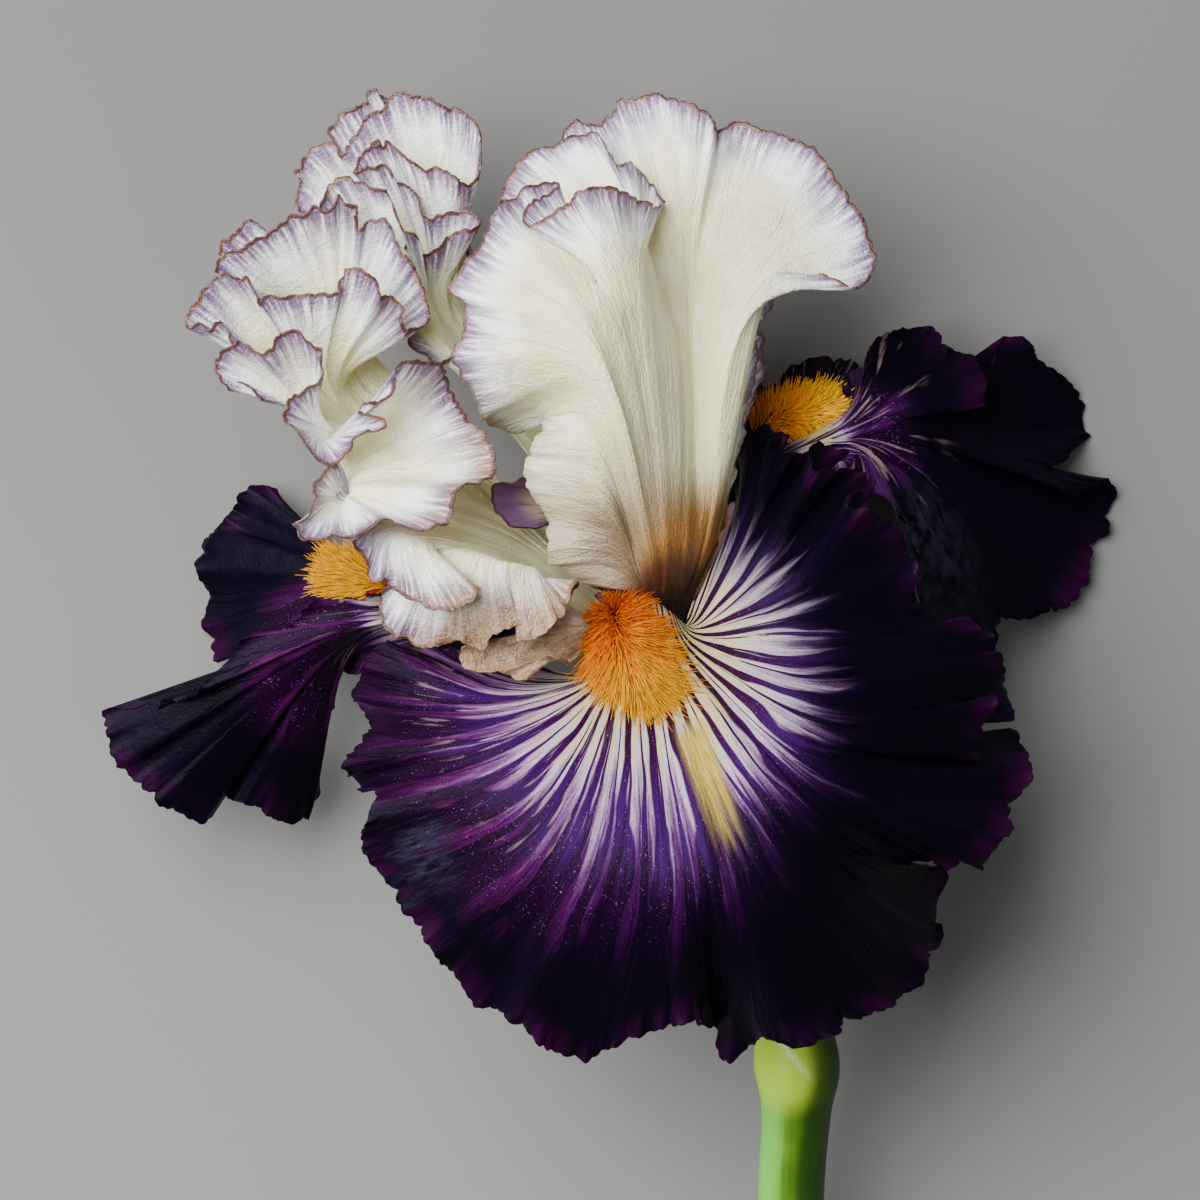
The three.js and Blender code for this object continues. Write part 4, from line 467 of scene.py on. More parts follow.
# ---------------------------------------------------------------- petal sheets
# A sheet is a grid of rings by columns. Ring 0 is its foot on the tube, 1 the claw, 2 the low blade, 3 the
# mid blade and 4 the rim, and the rings come closer together toward the rim.
COLUMN_STEP = 0.42  # mm of rim to a column
RIM_CROWDING = 1.35
RINGS = np.concatenate([
    np.linspace(0, 1, 4)[:-1],
    np.linspace(1, 2, 9)[:-1],
    np.linspace(2, 3, 17)[:-1],
    4 - (1 - np.linspace(0, 1, 32)) ** RIM_CROWDING,
])
MID_BLADE = int(np.argmin(abs(RINGS - 3)))
FLUTES = [(0.95, 6.5, 0), (0.65, 3.6, 1), (0.28, 1.9, 2)]  # height, wavelength, added to the seed
FLUTE_REACH = 2.8  # mm in from the rim
PLEATS = [(0.30, 16.0, 3.0, 3), (0.60, 22.0, 8.0, 9), (0.09, 20.0, 1.2, 6)]  # height, reach, wavelength, seed
NICK_REACH = 0.9
HELD_COLUMNS = 8  # over these the ruffles fade out at both ends of the rim


def petal_columns(petal):
    """The places along the rim, counted in rim points, where the fine sheet has a column."""
    rim = place(petal["rim"])
    columns = []
    for i, length in enumerate(np.linalg.norm(np.diff(rim, axis=0), axis=1)):
        count = max(2, int(np.ceil(length / COLUMN_STEP)))
        columns.extend(i + np.arange(count) / count)
    return np.array(columns + [len(rim) - 1.0])


def petal_sheet(petal, rings=RINGS):
    """The middle of a petal as a grid of points [ring, column], before its fine ruffles."""
    along = petal_columns(petal)
    end = len(petal["rim"]) - 1
    corners = [point[:2] for point in petal["rim"]]
    stops = [corners.index(spoke[0]) for spoke in petal["spokes"]]
    angle = np.radians(petal["angle"] + petal["turn"] * (along / end * 2 - 1) * CLAW_HALF_ANGLE)
    circle = petal.get("circle", CLAW_CIRCLE)
    foot = np.column_stack([circle * np.sin(angle), np.full(len(along), FOOT_RISE), circle * np.cos(angle)])
    levels = [TUBE_TOP + foot]
    for level in (1, 2, 3):
        levels.append(smooth_at(stops, place([spoke[level] for spoke in petal["spokes"]]), along))
    levels.append(smooth_at(np.arange(end + 1), place(petal["rim"]), along))
    picks, weights = smooth_keys(np.arange(5), rings)
    return sum(np.array(levels)[p] * w[:, None, None] for p, w in zip(picks, weights))


def grid_normals(grid):
    return unit(np.cross(np.gradient(grid, axis=1), np.gradient(grid, axis=0)))


def scallops(length, span, seed):
    """Rounded lobes along a length, each about span mm wide: 0 at their tips, 1 in the notches."""
    phase = np.pi * (length / span + 0.9 * wander(length, span * 5, seed))
    return (1 - np.abs(np.sin(phase))) ** 1.4


def ruffled(grid, frill, pleat, seed):
    """The grid with its rim fluted and nicked, and fine pleats that run in from it."""
    rim_length = running_length(grid[-1])
    middle_length = running_length(grid[MID_BLADE])
    down = running_length(grid[::-1])[::-1]  # mm from the rim along each column
    flutes = sum(height * wander(rim_length, wave, seed + own) for height, wave, own in FLUTES)
    swing = frill * np.exp(-down / FLUTE_REACH) * flutes
    for height, reach, wave, own in PLEATS:
        swing = swing + height * pleat * np.exp(-down / reach) * wander(middle_length, wave, seed + own)
    nick = 0.60 * scallops(rim_length, 2.3, seed + 4) * (0.7 + 0.5 * wander(rim_length, 9.0, seed + 7))
    nick += 0.18 * scallops(rim_length, 1.15, seed + 5) + 0.4 * np.abs(wander(rim_length, 7.0, seed + 8))
    shrink = -frill * nick * np.exp(-down / NICK_REACH)
    outward = grid - np.roll(grid, 1, axis=0)
    outward[0] = outward[1]
    held = smoothstep(0, HELD_COLUMNS, np.arange(grid.shape[1]))
    held = held * held[::-1]
    return grid + grid_normals(grid) * (swing * held)[..., None] + unit(outward) * (shrink * held)[..., None]


# ---------------------------------------------------------------- meshes
UV_LENGTH = 0.01  # UV layers hold lengths in units of 100 mm
BOX_LOW, BOX_HIGH = np.array(cad_low) / MM, np.array(cad_high) / MM
BOX_INSET = 0.25  # a petal's middle stays this far inside the CAD's box
BLADE_ROOT_HALF = 0.32
BLADE_RIM_HALF = 0.13


def link(name, data):
    """A new object in the scene."""
    thing = bpy.data.objects.new(name, data)
    bpy.context.scene.collection.objects.link(thing)
    return thing


def make_piece(name, material, points, quads, layers, triangles=()):
    """One smooth mesh in the place of a node. Layers are UV layers with one value pair for each point."""
    corners = np.concatenate([np.ravel(quads), np.ravel(triangles)]).astype(np.int32)
    sides = np.repeat([4, 3], [len(quads), len(triangles)])
    mesh = bpy.data.meshes.new("fine_" + name)
    mesh.vertices.add(len(points))
    mesh.vertices.foreach_set("co", (np.asarray(points) * MM).astype(np.float32).ravel())
    mesh.loops.add(len(corners))
    mesh.loops.foreach_set("vertex_index", corners)
    mesh.polygons.add(len(sides))
    mesh.polygons.foreach_set("loop_start", (np.cumsum(sides) - sides).astype(np.int32))
    mesh.polygons.foreach_set("loop_total", sides.astype(np.int32))
    mesh.polygons.foreach_set("use_smooth", np.ones(len(sides), dtype=bool))
    mesh.update(calc_edges=True)
    for layer_name, values in layers.items():
        layer = mesh.uv_layers.new(name=layer_name)
        layer.data.foreach_set("uv", np.asarray(values, np.float32)[corners].ravel())
    mesh.validate()
    mesh.materials.append(material)
    piece = link("fine_" + name, mesh)
    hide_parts(name)
    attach(piece, "root")


def grid_faces(rows, columns, closed=False):
    """Quads of a grid of points, whose last column meets its first if it is closed."""
    index = np.arange(rows * columns).reshape(rows, columns)
    following = np.roll(index, -1, axis=1)
    if not closed:
        index, following = index[:, :-1], following[:, :-1]
    return np.stack([index[:-1], following[:-1], following[1:], index[1:]], axis=-1).reshape(-1, 4)


def blade_points(grid, half):
    """The two faces of a blade, half mm to each side of the grid, and the quads that close it."""
    rows, columns = grid.shape[:2]
    count = rows * columns
    away = grid_normals(grid) * half[..., None]
    points = np.concatenate([(grid + away).reshape(-1, 3), (grid - away).reshape(-1, 3)])
    sheet = grid_faces(rows, columns)
    index = np.arange(count).reshape(rows, columns)
    loop = np.concatenate([index[0, :-1], index[:-1, -1], index[-1, :0:-1], index[:0:-1, 0]])
    onward = np.roll(loop, -1)
    wall = np.stack([loop, loop + count, onward + count, onward], axis=-1)
    faces = np.concatenate([sheet, sheet[:, ::-1] + count, wall])
    a, b, c, d = (points[faces[:, corner]] for corner in range(4))
    inside_out = np.einsum("ij,ij->", a, np.cross(b, c) + np.cross(c, d)) < 0
    return points, faces[:, ::-1] if inside_out else faces


def petal_piece(name, petal, material):
    plain = petal_sheet(petal)
    grid = ruffled(plain, petal["frill"], petal["pleat"], petal["seed"])
    grid = np.clip(grid, BOX_LOW + BOX_INSET, BOX_HIGH - BOX_INSET)
    half = np.interp(RINGS, [0, 4], [BLADE_ROOT_HALF, BLADE_RIM_HALF])[:, None]
    points, faces = blade_points(grid, np.broadcast_to(half, grid.shape[:2]))

    def on_both_faces(across, outward):
        across = np.broadcast_to(across, outward.shape)
        return np.tile(np.column_stack([across.ravel(), outward.ravel()]) * UV_LENGTH, (2, 1))

    layers = {
        "growth": on_both_faces(running_length(plain[MID_BLADE]), running_length(plain)),
        "edge": on_both_faces(running_length(plain[-1]), running_length(grid[::-1])[::-1]),
    }
    make_piece(name, material, points, faces, layers)


# ---------------------------------------------------------------- paint
class Value:
    """A node's output. Arithmetic on it adds math nodes."""

    def __init__(self, paint, socket):
        self.paint = paint
        self.socket = socket

    def __add__(self, other):
        return self.paint.math("ADD", self, other)

    def __sub__(self, other):
        return self.paint.math("SUBTRACT", self, other)

    def __mul__(self, other):
        return self.paint.math("MULTIPLY", self, other)

    def __truediv__(self, other):
        return self.paint.math("DIVIDE", self, other)

    def sway(self, span):
        """A noise, whose mean is 0.5, as a move to both sides of 0 over span."""
        return (self - 0.5) * span


class Paint:
    """A material, and short calls that add its nodes. What they take is a number, a colour or a Value.

    Noises are from 0 to 1. A step rises smoothly from 0 at its first limit to 1 at its second, which may be
    the lower one. Lengths are in mm.
    """

    def __init__(self, name):
        self.material = bpy.data.materials.new(name)
        self.material.use_nodes = True
        self.nodes = self.material.node_tree.nodes
        self.links = self.material.node_tree.links
        self.nodes.clear()

    def feed(self, socket, value):
        if isinstance(value, Value):
            self.links.new(value.socket, socket)
        elif socket.type == "RGBA":
            socket.default_value = (*value, 1.0)
        else:
            socket.default_value = value

    def node(self, kind, values, **settings):
        """The outputs of a new node, by their names and numbers."""
        node = self.nodes.new(kind)
        for key, value in settings.items():
            setattr(node, key, value)
        for key, value in values.items():
            self.feed(node.inputs[key], value)
        outputs = {number: Value(self, output) for number, output in enumerate(node.outputs)}
        return outputs | {value.socket.name: value for value in outputs.values()}

    def math(self, operation, a, b=0.0, clamp=False):
        return self.node("ShaderNodeMath", {0: a, 1: b}, operation=operation, use_clamp=clamp)[0]

    def vector_math(self, operation, a, values):
        return self.node("ShaderNodeVectorMath", {0: a, **values}, operation=operation)

    def mix(self, share, a, b):
        return self.node("ShaderNodeMix", {"Factor": share, 6: a, 7: b}, data_type="RGBA")[2]

    def coats(self, ground, coats):
        """A colour with coats over it, first to last, each a colour and how much it covers."""
        for color, share in coats:
            ground = self.mix(share, ground, color)
        return ground

    def step(self, value, first, second, start=0.0, end=1.0):
        limits = {"Value": value, "From Min": first, "From Max": second, "To Min": start, "To Max": end}
        return self.node("ShaderNodeMapRange", limits, interpolation_type="SMOOTHSTEP")["Result"]

    def split(self, vector):
        """The three shares of a vector."""
        shares = self.node("ShaderNodeSeparateXYZ", {0: vector})
        return shares[0], shares[1], shares[2]

    def uv(self, layer):
        """A UV layer's two values."""
        return self.split(self.node("ShaderNodeUVMap", {}, uv_map=layer)[0])[:2]

    def lengths(self, layer):
        """A UV layer's two lengths."""
        return [value * (1 / UV_LENGTH) for value in self.uv(layer)]

    def noise(self, vector, scale=1.0, detail=2.0, roughness=0.5):
        values = {"Vector": vector, "Scale": scale, "Detail": detail, "Roughness": roughness}
        return self.node("ShaderNodeTexNoise", values)["Fac"]

    def fibres(self, across, along, seed, detail=2.0, roughness=0.5):
        """Noise of two values. It makes fibres where the second changes slowly."""
        vector = self.node("ShaderNodeCombineXYZ", {0: across, 1: along, 2: seed})[0]
        return self.noise(vector, 1.0, detail, roughness)

    def position(self):
        """The place in the part's frame."""
        here = self.node("ShaderNodeTexCoord", {})["Object"]
        return self.vector_math("SCALE", here, {3: 1 / MM})[0]

    def near(self, point):
        """How far the place is from a point of the drawing, seen from above."""
        flat = self.vector_math("MULTIPLY", self.position(), {1: (1, 1, 0)})[0]
        x, y, _ = place([*point, 0])[0]
        return self.vector_math("DISTANCE", flat, {1: (float(x), float(y), 0.0)})["Value"]

    def facing(self, way):
        """How far the surface faces a way of the part's frame, from -1 to 1."""
        normal = self.node("ShaderNodeTexCoord", {})["Normal"]
        return self.vector_math("DOT_PRODUCT", normal, {1: way})["Value"]

    def finish(self, color, relief=None, strength=0.3, depth=0.1, **settings):
        """The material, with relief of a strength and a depth. Settings are the shader's own, by name."""
        shader = self.nodes.new("ShaderNodeBsdfPrincipled")
        self.feed(shader.inputs["Base Color"], color)
        for key, value in settings.items():
            shader.inputs[key.replace("_", " ")].default_value = value
        if relief is not None:
            bump = {"Height": relief, "Strength": strength, "Distance": depth * MM}
            self.feed(shader.inputs["Normal"], self.node("ShaderNodeBump", bump)[0])
        output = self.nodes.new("ShaderNodeOutputMaterial")
        self.links.new(shader.outputs[0], output.inputs["Surface"])
        return self.material


def vein_lines(paint, vein, out, spacing, seed, width):
    """Lines that run out from the throat, spacing apart across the mid blade. Width is a share of that."""
    drift = paint.fibres(vein * (0.5 / spacing), out * 0.05, seed)
    turns = vein * (1 / spacing) + drift * 1.1 + seed
    wave = paint.math("ABSOLUTE", paint.math("SINE", turns * np.pi))
    return paint.step(wave - width, 0.09, -0.07)


def streak_mask(paint, start, end, half_width, fine):
    """A patch round the line from start to end of the drawing, with a ragged edge."""
    a, b = (Vector(place([*point, 0])[0]) for point in (start, end))
    way = (b - a).normalized()
    from_start = paint.vector_math("SUBTRACT", paint.position(), {1: tuple(a)})[0]
    along = paint.vector_math("DOT_PRODUCT", from_start, {1: tuple(way)})["Value"]
    off = paint.vector_math("DOT_PRODUCT", from_start, {1: (-way.y, way.x, 0)})["Value"]
    off = paint.math("ABSOLUTE", off) + fine.sway(2.0)
    length = (b - a).length
    ends = paint.step(along, -3.0, 1.0) * paint.step(along, length + 3.0, length - 4.0)
    return paint.step(off, half_width + 0.8, half_width - 0.8) * ends


# ---------------------------------------------------------------- fall material
CREAM = (0.40, 0.345, 0.150)
LILAC_WHITE = (0.36, 0.30, 0.34)
LILAC = (0.16, 0.075, 0.20)
SHADE = (0.26, 0.20, 0.15)
VEIN_MAROON = (0.016, 0.001, 0.012)
VEIN_PURPLE = (0.026, 0.001, 0.060)
DEEP_PURPLE = (0.040, 0.0004, 0.054)
MAGENTA_PURPLE = (0.050, 0.0003, 0.044)
RIM_PURPLE = (0.018, 0.0002, 0.017)
MAUVE = (0.34, 0.21, 0.22)
# painted sheen, blue-grey
SHEEN_SLATE = (0.014, 0.013, 0.024)
MIDNIGHT = (0.010, 0.0003, 0.020)
NEAR_BLACK = (0.0016, 0.0004, 0.0036)
GOLD = (0.25, 0.17, 0.02)
PALE_GOLD = (0.38, 0.30, 0.075)
SPECK = (0.34, 0.10, 0.38)
BLUE_GLOSS = (0.70, 0.78, 1.0, 1.0)
BLUE_SHEEN = (0.50, 0.60, 0.90, 1.0)


def fall_material(
    name, seed, throat, cream_reach, centre, purple_reach, vein_spacing, pale_reach, pale_share,
    pale_side=99.0, pale_rate=2.4, sheen_patch=None, gold=None,
):
    """Cream at the throat with dark veins that spread into purple, and near black outside.

    The cream reaches cream_reach from the throat, and the purple purple_reach from the centre. Thin pale
    streaks, pale_rate to a mm, run on into the purple to pale_reach from the throat, left of pale_side.
    Sheen_patch is the place and reach of a painted blue-grey sheen, gold the start, end and half width of a
    streak.
    """
    paint = Paint(name)
    vein, out = paint.lengths("growth")
    from_rim = paint.lengths("edge")[1]
    right = paint.split(paint.position())[0]
    from_throat = paint.near(throat)
    share = from_throat / cream_reach
    streak = paint.fibres(vein * 0.6, out * 0.04, seed, 3.0, 0.6)
    fine = paint.fibres(vein * 2.8, out * 0.25, seed + 3, 3.0, 0.65)
    grain = paint.noise(paint.position(), 3.2)
    ragged = share + streak.sway(1.3) + fine.sway(0.45) + grain.sway(0.25)
    # the veins widen outward, and new ones start between them
    widening = paint.step(share, 0.55, 1.25, 0.0, 0.35)
    closing = paint.step(share, 0.15, 0.8, 0.62, 0.36)
    main = vein_lines(paint, vein, out, vein_spacing, seed, widening + closing)
    side = vein_lines(paint, vein, out, vein_spacing / 2, seed + 0.37, widening + 0.22)
    dashes = paint.fibres(vein * 0.45, out * 0.16, seed + 5)
    side = side * paint.step(ragged + dashes.sway(1.0), 0.28, 0.42)
    small = vein_lines(paint, vein, out, vein_spacing / 4, seed + 0.71, widening + 0.06)
    both = paint.math("MAXIMUM", main, side)
    lines = paint.math("MAXIMUM", both, small * paint.step(ragged, 0.75, 1.0), clamp=True)
    line_color = paint.mix(paint.step(share, 0.4, 0.9), VEIN_MAROON, VEIN_PURPLE)
    coats = [
        (LILAC_WHITE, paint.step(ragged, 0.30, 0.62)),
        (LILAC, paint.step(ragged, 0.55, 0.95)),
        (SHADE, paint.step(fine, 0.46, 0.66) * 0.4),
        (line_color, lines),
    ]
    if gold is not None:
        gold_color = paint.mix(paint.step(fine, 0.40, 0.62), GOLD, PALE_GOLD)
        coats.append((gold_color, streak_mask(paint, *gold, fine)))
    purple = paint.coats(DEEP_PURPLE, [
        (MAGENTA_PURPLE, paint.step(right, 4.0, -24.0)),
        (MIDNIGHT, paint.step(fine, 0.36, 0.60) * 0.65),
        (NEAR_BLACK, both * 0.80),
    ])
    dark = paint.near(centre) / purple_reach + streak.sway(0.6)
    thread = paint.fibres(vein * pale_rate, out * 0.09, seed + 11)
    pale = paint.step(thread - from_throat * (0.13 / pale_reach), 0.50, 0.60)
    pale = pale * paint.step(from_throat, pale_reach, pale_reach * 0.5) * paint.step(fine, 0.25, 0.55)
    pale = pale * paint.step(right, pale_side, pale_side - 14.0)
    coats += [
        (purple, paint.step(ragged, 0.66, 1.26)),
        (NEAR_BLACK, paint.step(dark, 0.60, 1.15)),
        (MAUVE, pale * pale_share),
        # a purple band along the rim, partly the rim's own colour and partly painted glow of light through
        # the thin edge
        (RIM_PURPLE, paint.step(from_rim, 6.5, 0.3) * paint.step(streak, 0.42, 0.64) * 0.85),
    ]
    # a painted blue-grey sheen, streaky along the fibres
    if sheen_patch is not None:
        point, reach = sheen_patch
        patch = paint.step(paint.near(point) + streak.sway(14.0), reach, reach * 0.3)
        coats.append((SHEEN_SLATE, patch * paint.step(fine, 0.34, 0.62)))
    speck = paint.step(grain, 0.60, 0.70) * paint.step(fine, 0.46, 0.64) * paint.step(dark, 1.1, 0.6)
    coats.append((SPECK, speck * 0.5))
    relief = streak + fine * 0.7 - lines * 0.3 + grain * 0.16
    return paint.finish(
        paint.coats(CREAM, coats), relief, strength=0.6, depth=0.6, Roughness=0.40, Specular_IOR_Level=0.05,
        Specular_Tint=BLUE_GLOSS, Sheen_Weight=0.004, Sheen_Roughness=0.35, Sheen_Tint=BLUE_SHEEN,
    )


# ---------------------------------------------------------------- standard material
PETAL_WHITE = (0.92, 0.92, 0.93)
PETAL_CREAM = (0.82, 0.78, 0.47)
PETAL_OLIVE = (0.47, 0.42, 0.28)
PETAL_SHADE = (0.27, 0.20, 0.13)
PETAL_DEEP_SHADE = (0.11, 0.055, 0.025)
PETAL_COOL_SHADE = (0.47, 0.49, 0.60)
RIM_LAVENDER = (0.120, 0.055, 0.165)
RIM_BROWN = (0.065, 0.020, 0.016)
RIM_GOLD = (0.23, 0.120, 0.040)
RIM_TAN = (0.17, 0.080, 0.035)
DRY_TAN = (0.27, 0.165, 0.085)
DRY_BROWN = (0.11, 0.050, 0.020)
AMBER = (0.32, 0.145, 0.018)
PAINTED_THROAT_SHADE = (0.080, 0.016, 0.002)
THROAT = (672, 585)
HAFT = (704, 556)
THROAT_SHADE = (672, 594)


def standard_material(name, seed, amber_reach, tan_reach, dry_lobe=None, shaded=None):
    """White with cream depths that are partly painted warm shade, violet streaks along the rim, and a brown
    line round it.

    The haft is amber for amber_reach, and the rim's streaks are tan within tan_reach of the throat.
    Dry_lobe and shaded are where a lobe is dry and where warm shade is painted on the petal.
    """
    paint = Paint(name)
    vein, out = paint.lengths("growth")
    round_rim, from_rim = paint.lengths("edge")
    from_throat = paint.near(THROAT)
    streak = paint.fibres(round_rim * 1.3, from_rim * 0.12, seed, 4.0, 0.65)
    cloud = paint.fibres(round_rim * 0.12, seed, 0.0)
    veins = paint.fibres(vein * 1.7, out * 0.06, seed + 2, 4.0, 0.65)
    wrinkles = paint.fibres(vein * 0.9, out * 0.35, seed + 7, 3.0, 0.6)
    mottle = paint.noise(paint.position(), 0.085, 2.0, 0.55)
    cells = paint.noise(paint.position(), 2.4, 3.0)
    ribs = vein_lines(paint, vein, out, 3.4, seed + 0.2, 0.02)
    tint = paint.mix(paint.step(from_throat, tan_reach, tan_reach * 0.6), RIM_LAVENDER, RIM_TAN)
    fade = paint.step(from_rim / paint.step(cloud, 0.34, 0.60, 4.2, 11.0), 1.0, 0.0)
    dense_reach = paint.step(from_throat, tan_reach, tan_reach * 0.6, 3.2, 7.5)
    dense = paint.step(from_rim / dense_reach, 1.0, 0.06) * paint.step(streak, 0.25, 0.60, 0.35, 1.0)
    rim_color = paint.mix(paint.step(cloud, 0.50, 0.62), RIM_BROWN, RIM_GOLD)
    coats = [
        # cream inward from the rim: partly the petal's own tint, partly painted warm shade of the deep folds
        (PETAL_CREAM, paint.step(from_rim, 3.0, 13.0)),
        (PETAL_OLIVE, paint.step(mottle, 0.44, 0.64) * 0.45),
        (PETAL_OLIVE, paint.step(veins, 0.48, 0.64) * 0.30),
        (PETAL_OLIVE, ribs * 0.25),
        # painted shade: blue-grey streaks a little way in from the rim
        (PETAL_COOL_SHADE, paint.step(streak, 0.50, 0.66) * paint.step(from_rim, 16.0, 5.0) * 0.55),
        (tint, paint.step(streak, 0.32, 0.58) * fade),
        (tint, dense * 0.8),
        (rim_color, paint.step(from_rim + streak.sway(1.3), 0.85, 0.40)),
        (RIM_BROWN, paint.step(from_rim, 0.40, 0.20)),
    ]
    # painted warm shade round the shaded point: creamier, then brown, then near black close to it
    if shaded is not None:
        shade = paint.near(shaded) + veins.sway(12.0)
        coats += [
            (PETAL_CREAM, paint.step(shade, 34.0, 12.0) * 0.55),
            (PETAL_SHADE, paint.step(shade, 20.0, 3.0) * 0.80),
            (PETAL_DEEP_SHADE, paint.step(shade, 7.0, 1.0) * 0.65),
        ]
    # The haft is amber, and toward THROAT_SHADE it is painted dark brown as the shade in the throat.
    haft = paint.near(HAFT) + veins.sway(3.0)
    coats += [
        (AMBER, paint.step(haft, amber_reach * 1.3, amber_reach * 0.45)),
        (PAINTED_THROAT_SHADE, paint.step(paint.near(THROAT_SHADE), amber_reach * 0.8, amber_reach * 0.3)),
    ]
    if dry_lobe is not None:
        crumple = paint.step(paint.noise(paint.position(), 0.45, 3.0, 0.6), 0.44, 0.62)
        tissue = paint.mix(crumple * 0.8, DRY_TAN, DRY_BROWN)
        coats.append((tissue, paint.step(paint.near(dry_lobe) + streak.sway(9.0), 20.0, 8.0) * 0.95))
    relief = veins * 0.6 + cells * 0.8 + wrinkles * 1.2 + ribs * 0.45 + streak * fade * 0.9
    return paint.finish(
        paint.coats(PETAL_WHITE, coats), relief, strength=0.60, depth=0.65, Roughness=0.30,
        Specular_IOR_Level=0.60, Sheen_Weight=0.03, Subsurface_Weight=0.45,
        Subsurface_Radius=(1.0, 0.85, 0.50), Subsurface_Scale=0.0012,
    )


# ---------------------------------------------------------------- style arm material
CREST_VIOLET = (0.24, 0.12, 0.29)
CREST_INNER = (0.74, 0.62, 0.42)
CREST_VEIN = (0.20, 0.075, 0.22)
WISP = (0.55, 0.36, 0.20)


def style_material(name, seed, inner, crest, crest_reach):
    """Inner tissue that turns to the crest's colour within crest_reach of the rim."""
    paint = Paint(name)
    round_rim, from_rim = paint.lengths("edge")
    streak = paint.fibres(round_rim * 0.9, from_rim * 0.10, seed, 3.0, 0.6)
    color = paint.coats(inner, [
        (crest, paint.step(from_rim + streak.sway(3.0), crest_reach, crest_reach * 0.3)),
        (CREST_VEIN, paint.step(streak, 0.46, 0.62) * 0.8),
        (RIM_BROWN, paint.step(from_rim, 0.45, 0.15)),
    ])
    return paint.finish(
        color, streak, strength=0.4, depth=0.4, Roughness=0.5, Subsurface_Weight=0.25,
        Subsurface_Radius=(1.0, 0.8, 0.5), Subsurface_Scale=0.001,
    )


# ---------------------------------------------------------------- beards
# A beard stands on its fall, along a centre line of (right, down, half width), between two rings of it.
HAIR_RUST = (0.30, 0.008, 0.0)
HAIR_ORANGE = (0.40, 0.045, 0.0)
HAIR_YELLOW = (0.50, 0.22, 0.0)
# painted light: the right beard's hairs are brighter than the front beard's, to make up for the standard's
# shade over them
HAIR_AMBER = (0.90, 0.30, 0.0)
HAIR_LEMON = (1.0, 0.56, 0.01)
# painted shade between the hairs: the roots and the pad under them
ROOT_SHADE_RUST = (0.15, 0.012, 0.001)
ROOT_SHADE_BROWN = (0.22, 0.085, 0.003)
BEARDS = {
    "beard_front": {
        "petal": FALL_FRONT, "rings": (1.05, 2.7), "hairs": 4400, "length": 5.4, "lean": 1.0, "seed": 3,
        "line": [(612, 606, 13), (616, 628, 21), (626, 652, 24), (639, 678, 21), (652, 700, 12)],
        "skin": "front_hair", "colors": (HAIR_RUST, HAIR_ORANGE, HAIR_YELLOW),
    },
    "beard_left": {
        "petal": FALL_LEFT, "rings": (2.3, 3.6), "hairs": 900, "length": 4.4, "lean": 1.5, "seed": 4,
        "line": [(390, 586, 8), (372, 583, 13), (356, 580, 14), (342, 577, 9)],
        "skin": "left_hair", "colors": (HAIR_YELLOW, HAIR_YELLOW, HAIR_YELLOW),
    },
    "beard_right": {
        # its brighter hair colours are painted light against the standard's shade
        "petal": FALL_RIGHT, "rings": (2, 3.3), "hairs": 1200, "length": 3.4, "lean": 0.7, "seed": 5,
        "line": [(754, 432, 10), (776, 422, 15), (798, 416, 15), (818, 414, 13), (834, 413, 8)],
        "skin": "right_hair", "colors": (HAIR_AMBER, HAIR_AMBER, HAIR_LEMON),
    },
}
SEAT_RINGS = 60
PAD_HEIGHT = 1.5
PAD_EDGE = 0.35
PAD_EDGE_HALF = 0.12
PAD_ROWS, PAD_COLUMNS = 25, 13
PAD_SMOOTHINGS = 3
HAIR_ROOT = 0.105
HAIR_TIP = 0.035
HAIR_SIDES = 4
HAIR_STEPS = 4
HAIR_RISE = 0.5  # how much a hair follows its fall's normal
HAIR_SPREAD = 0.12  # how far the ways of the hairs differ
LEAST_RISE = 0.12
LEAN = 1.35  # how much a hair leans onward, more so toward the beard's outer end
LEAN_START = 0.12
DROOP = 0.35
DROOP_ONWARD, DROOP_ASIDE, DROOP_SPREAD = 0.35, 0.3, 0.24
SHORTEST, LONGEST = 0.65, 1.1  # of the beard's hair length
INNER_LENGTH, LENGTH_GAIN = 0.8, 0.35  # hairs get longer along the beard
TONE_SPREAD = 0.09


def beard_seat(beard):
    """A function from t along a beard and s across it, arrays, to points and normals of its fall."""
    grid = petal_sheet(beard["petal"], np.linspace(*beard["rings"], SEAT_RINGS))
    normals = grid_normals(grid)
    normals[normals[..., 2] < 0] *= -1
    seen = drawn(grid).reshape(-1, 2)
    points = grid.reshape(-1, 3)
    normals = normals.reshape(-1, 3)
    line = np.array(beard["line"], float)
    keys = np.arange(len(line))

    def seat(t, s):
        here, ahead, behind = (
            smooth_at(keys, line, np.clip(t + step, 0, 1) * keys[-1]) for step in (0, 0.02, -0.02)
        )
        way = unit((ahead - behind)[:, :2])
        target = here[:, :2] + np.column_stack([-way[:, 1], way[:, 0]]) * (here[:, 2] * s)[:, None]
        nearest = np.array([np.argmin(((seen - p) ** 2).sum(axis=1)) for p in target])
        onward = np.column_stack([way[:, 0], -way[:, 1], np.zeros(len(way))])
        sideways = np.column_stack([-way[:, 1], -way[:, 0], np.zeros(len(way))])
        return points[nearest], normals[nearest], onward, sideways

    return seat


def pad_swell(t, s):
    """How thick the pad is, as a share, t along it and s across it."""
    return (1 - s**2) * np.sin(np.pi * (t * 0.9 + 0.05))


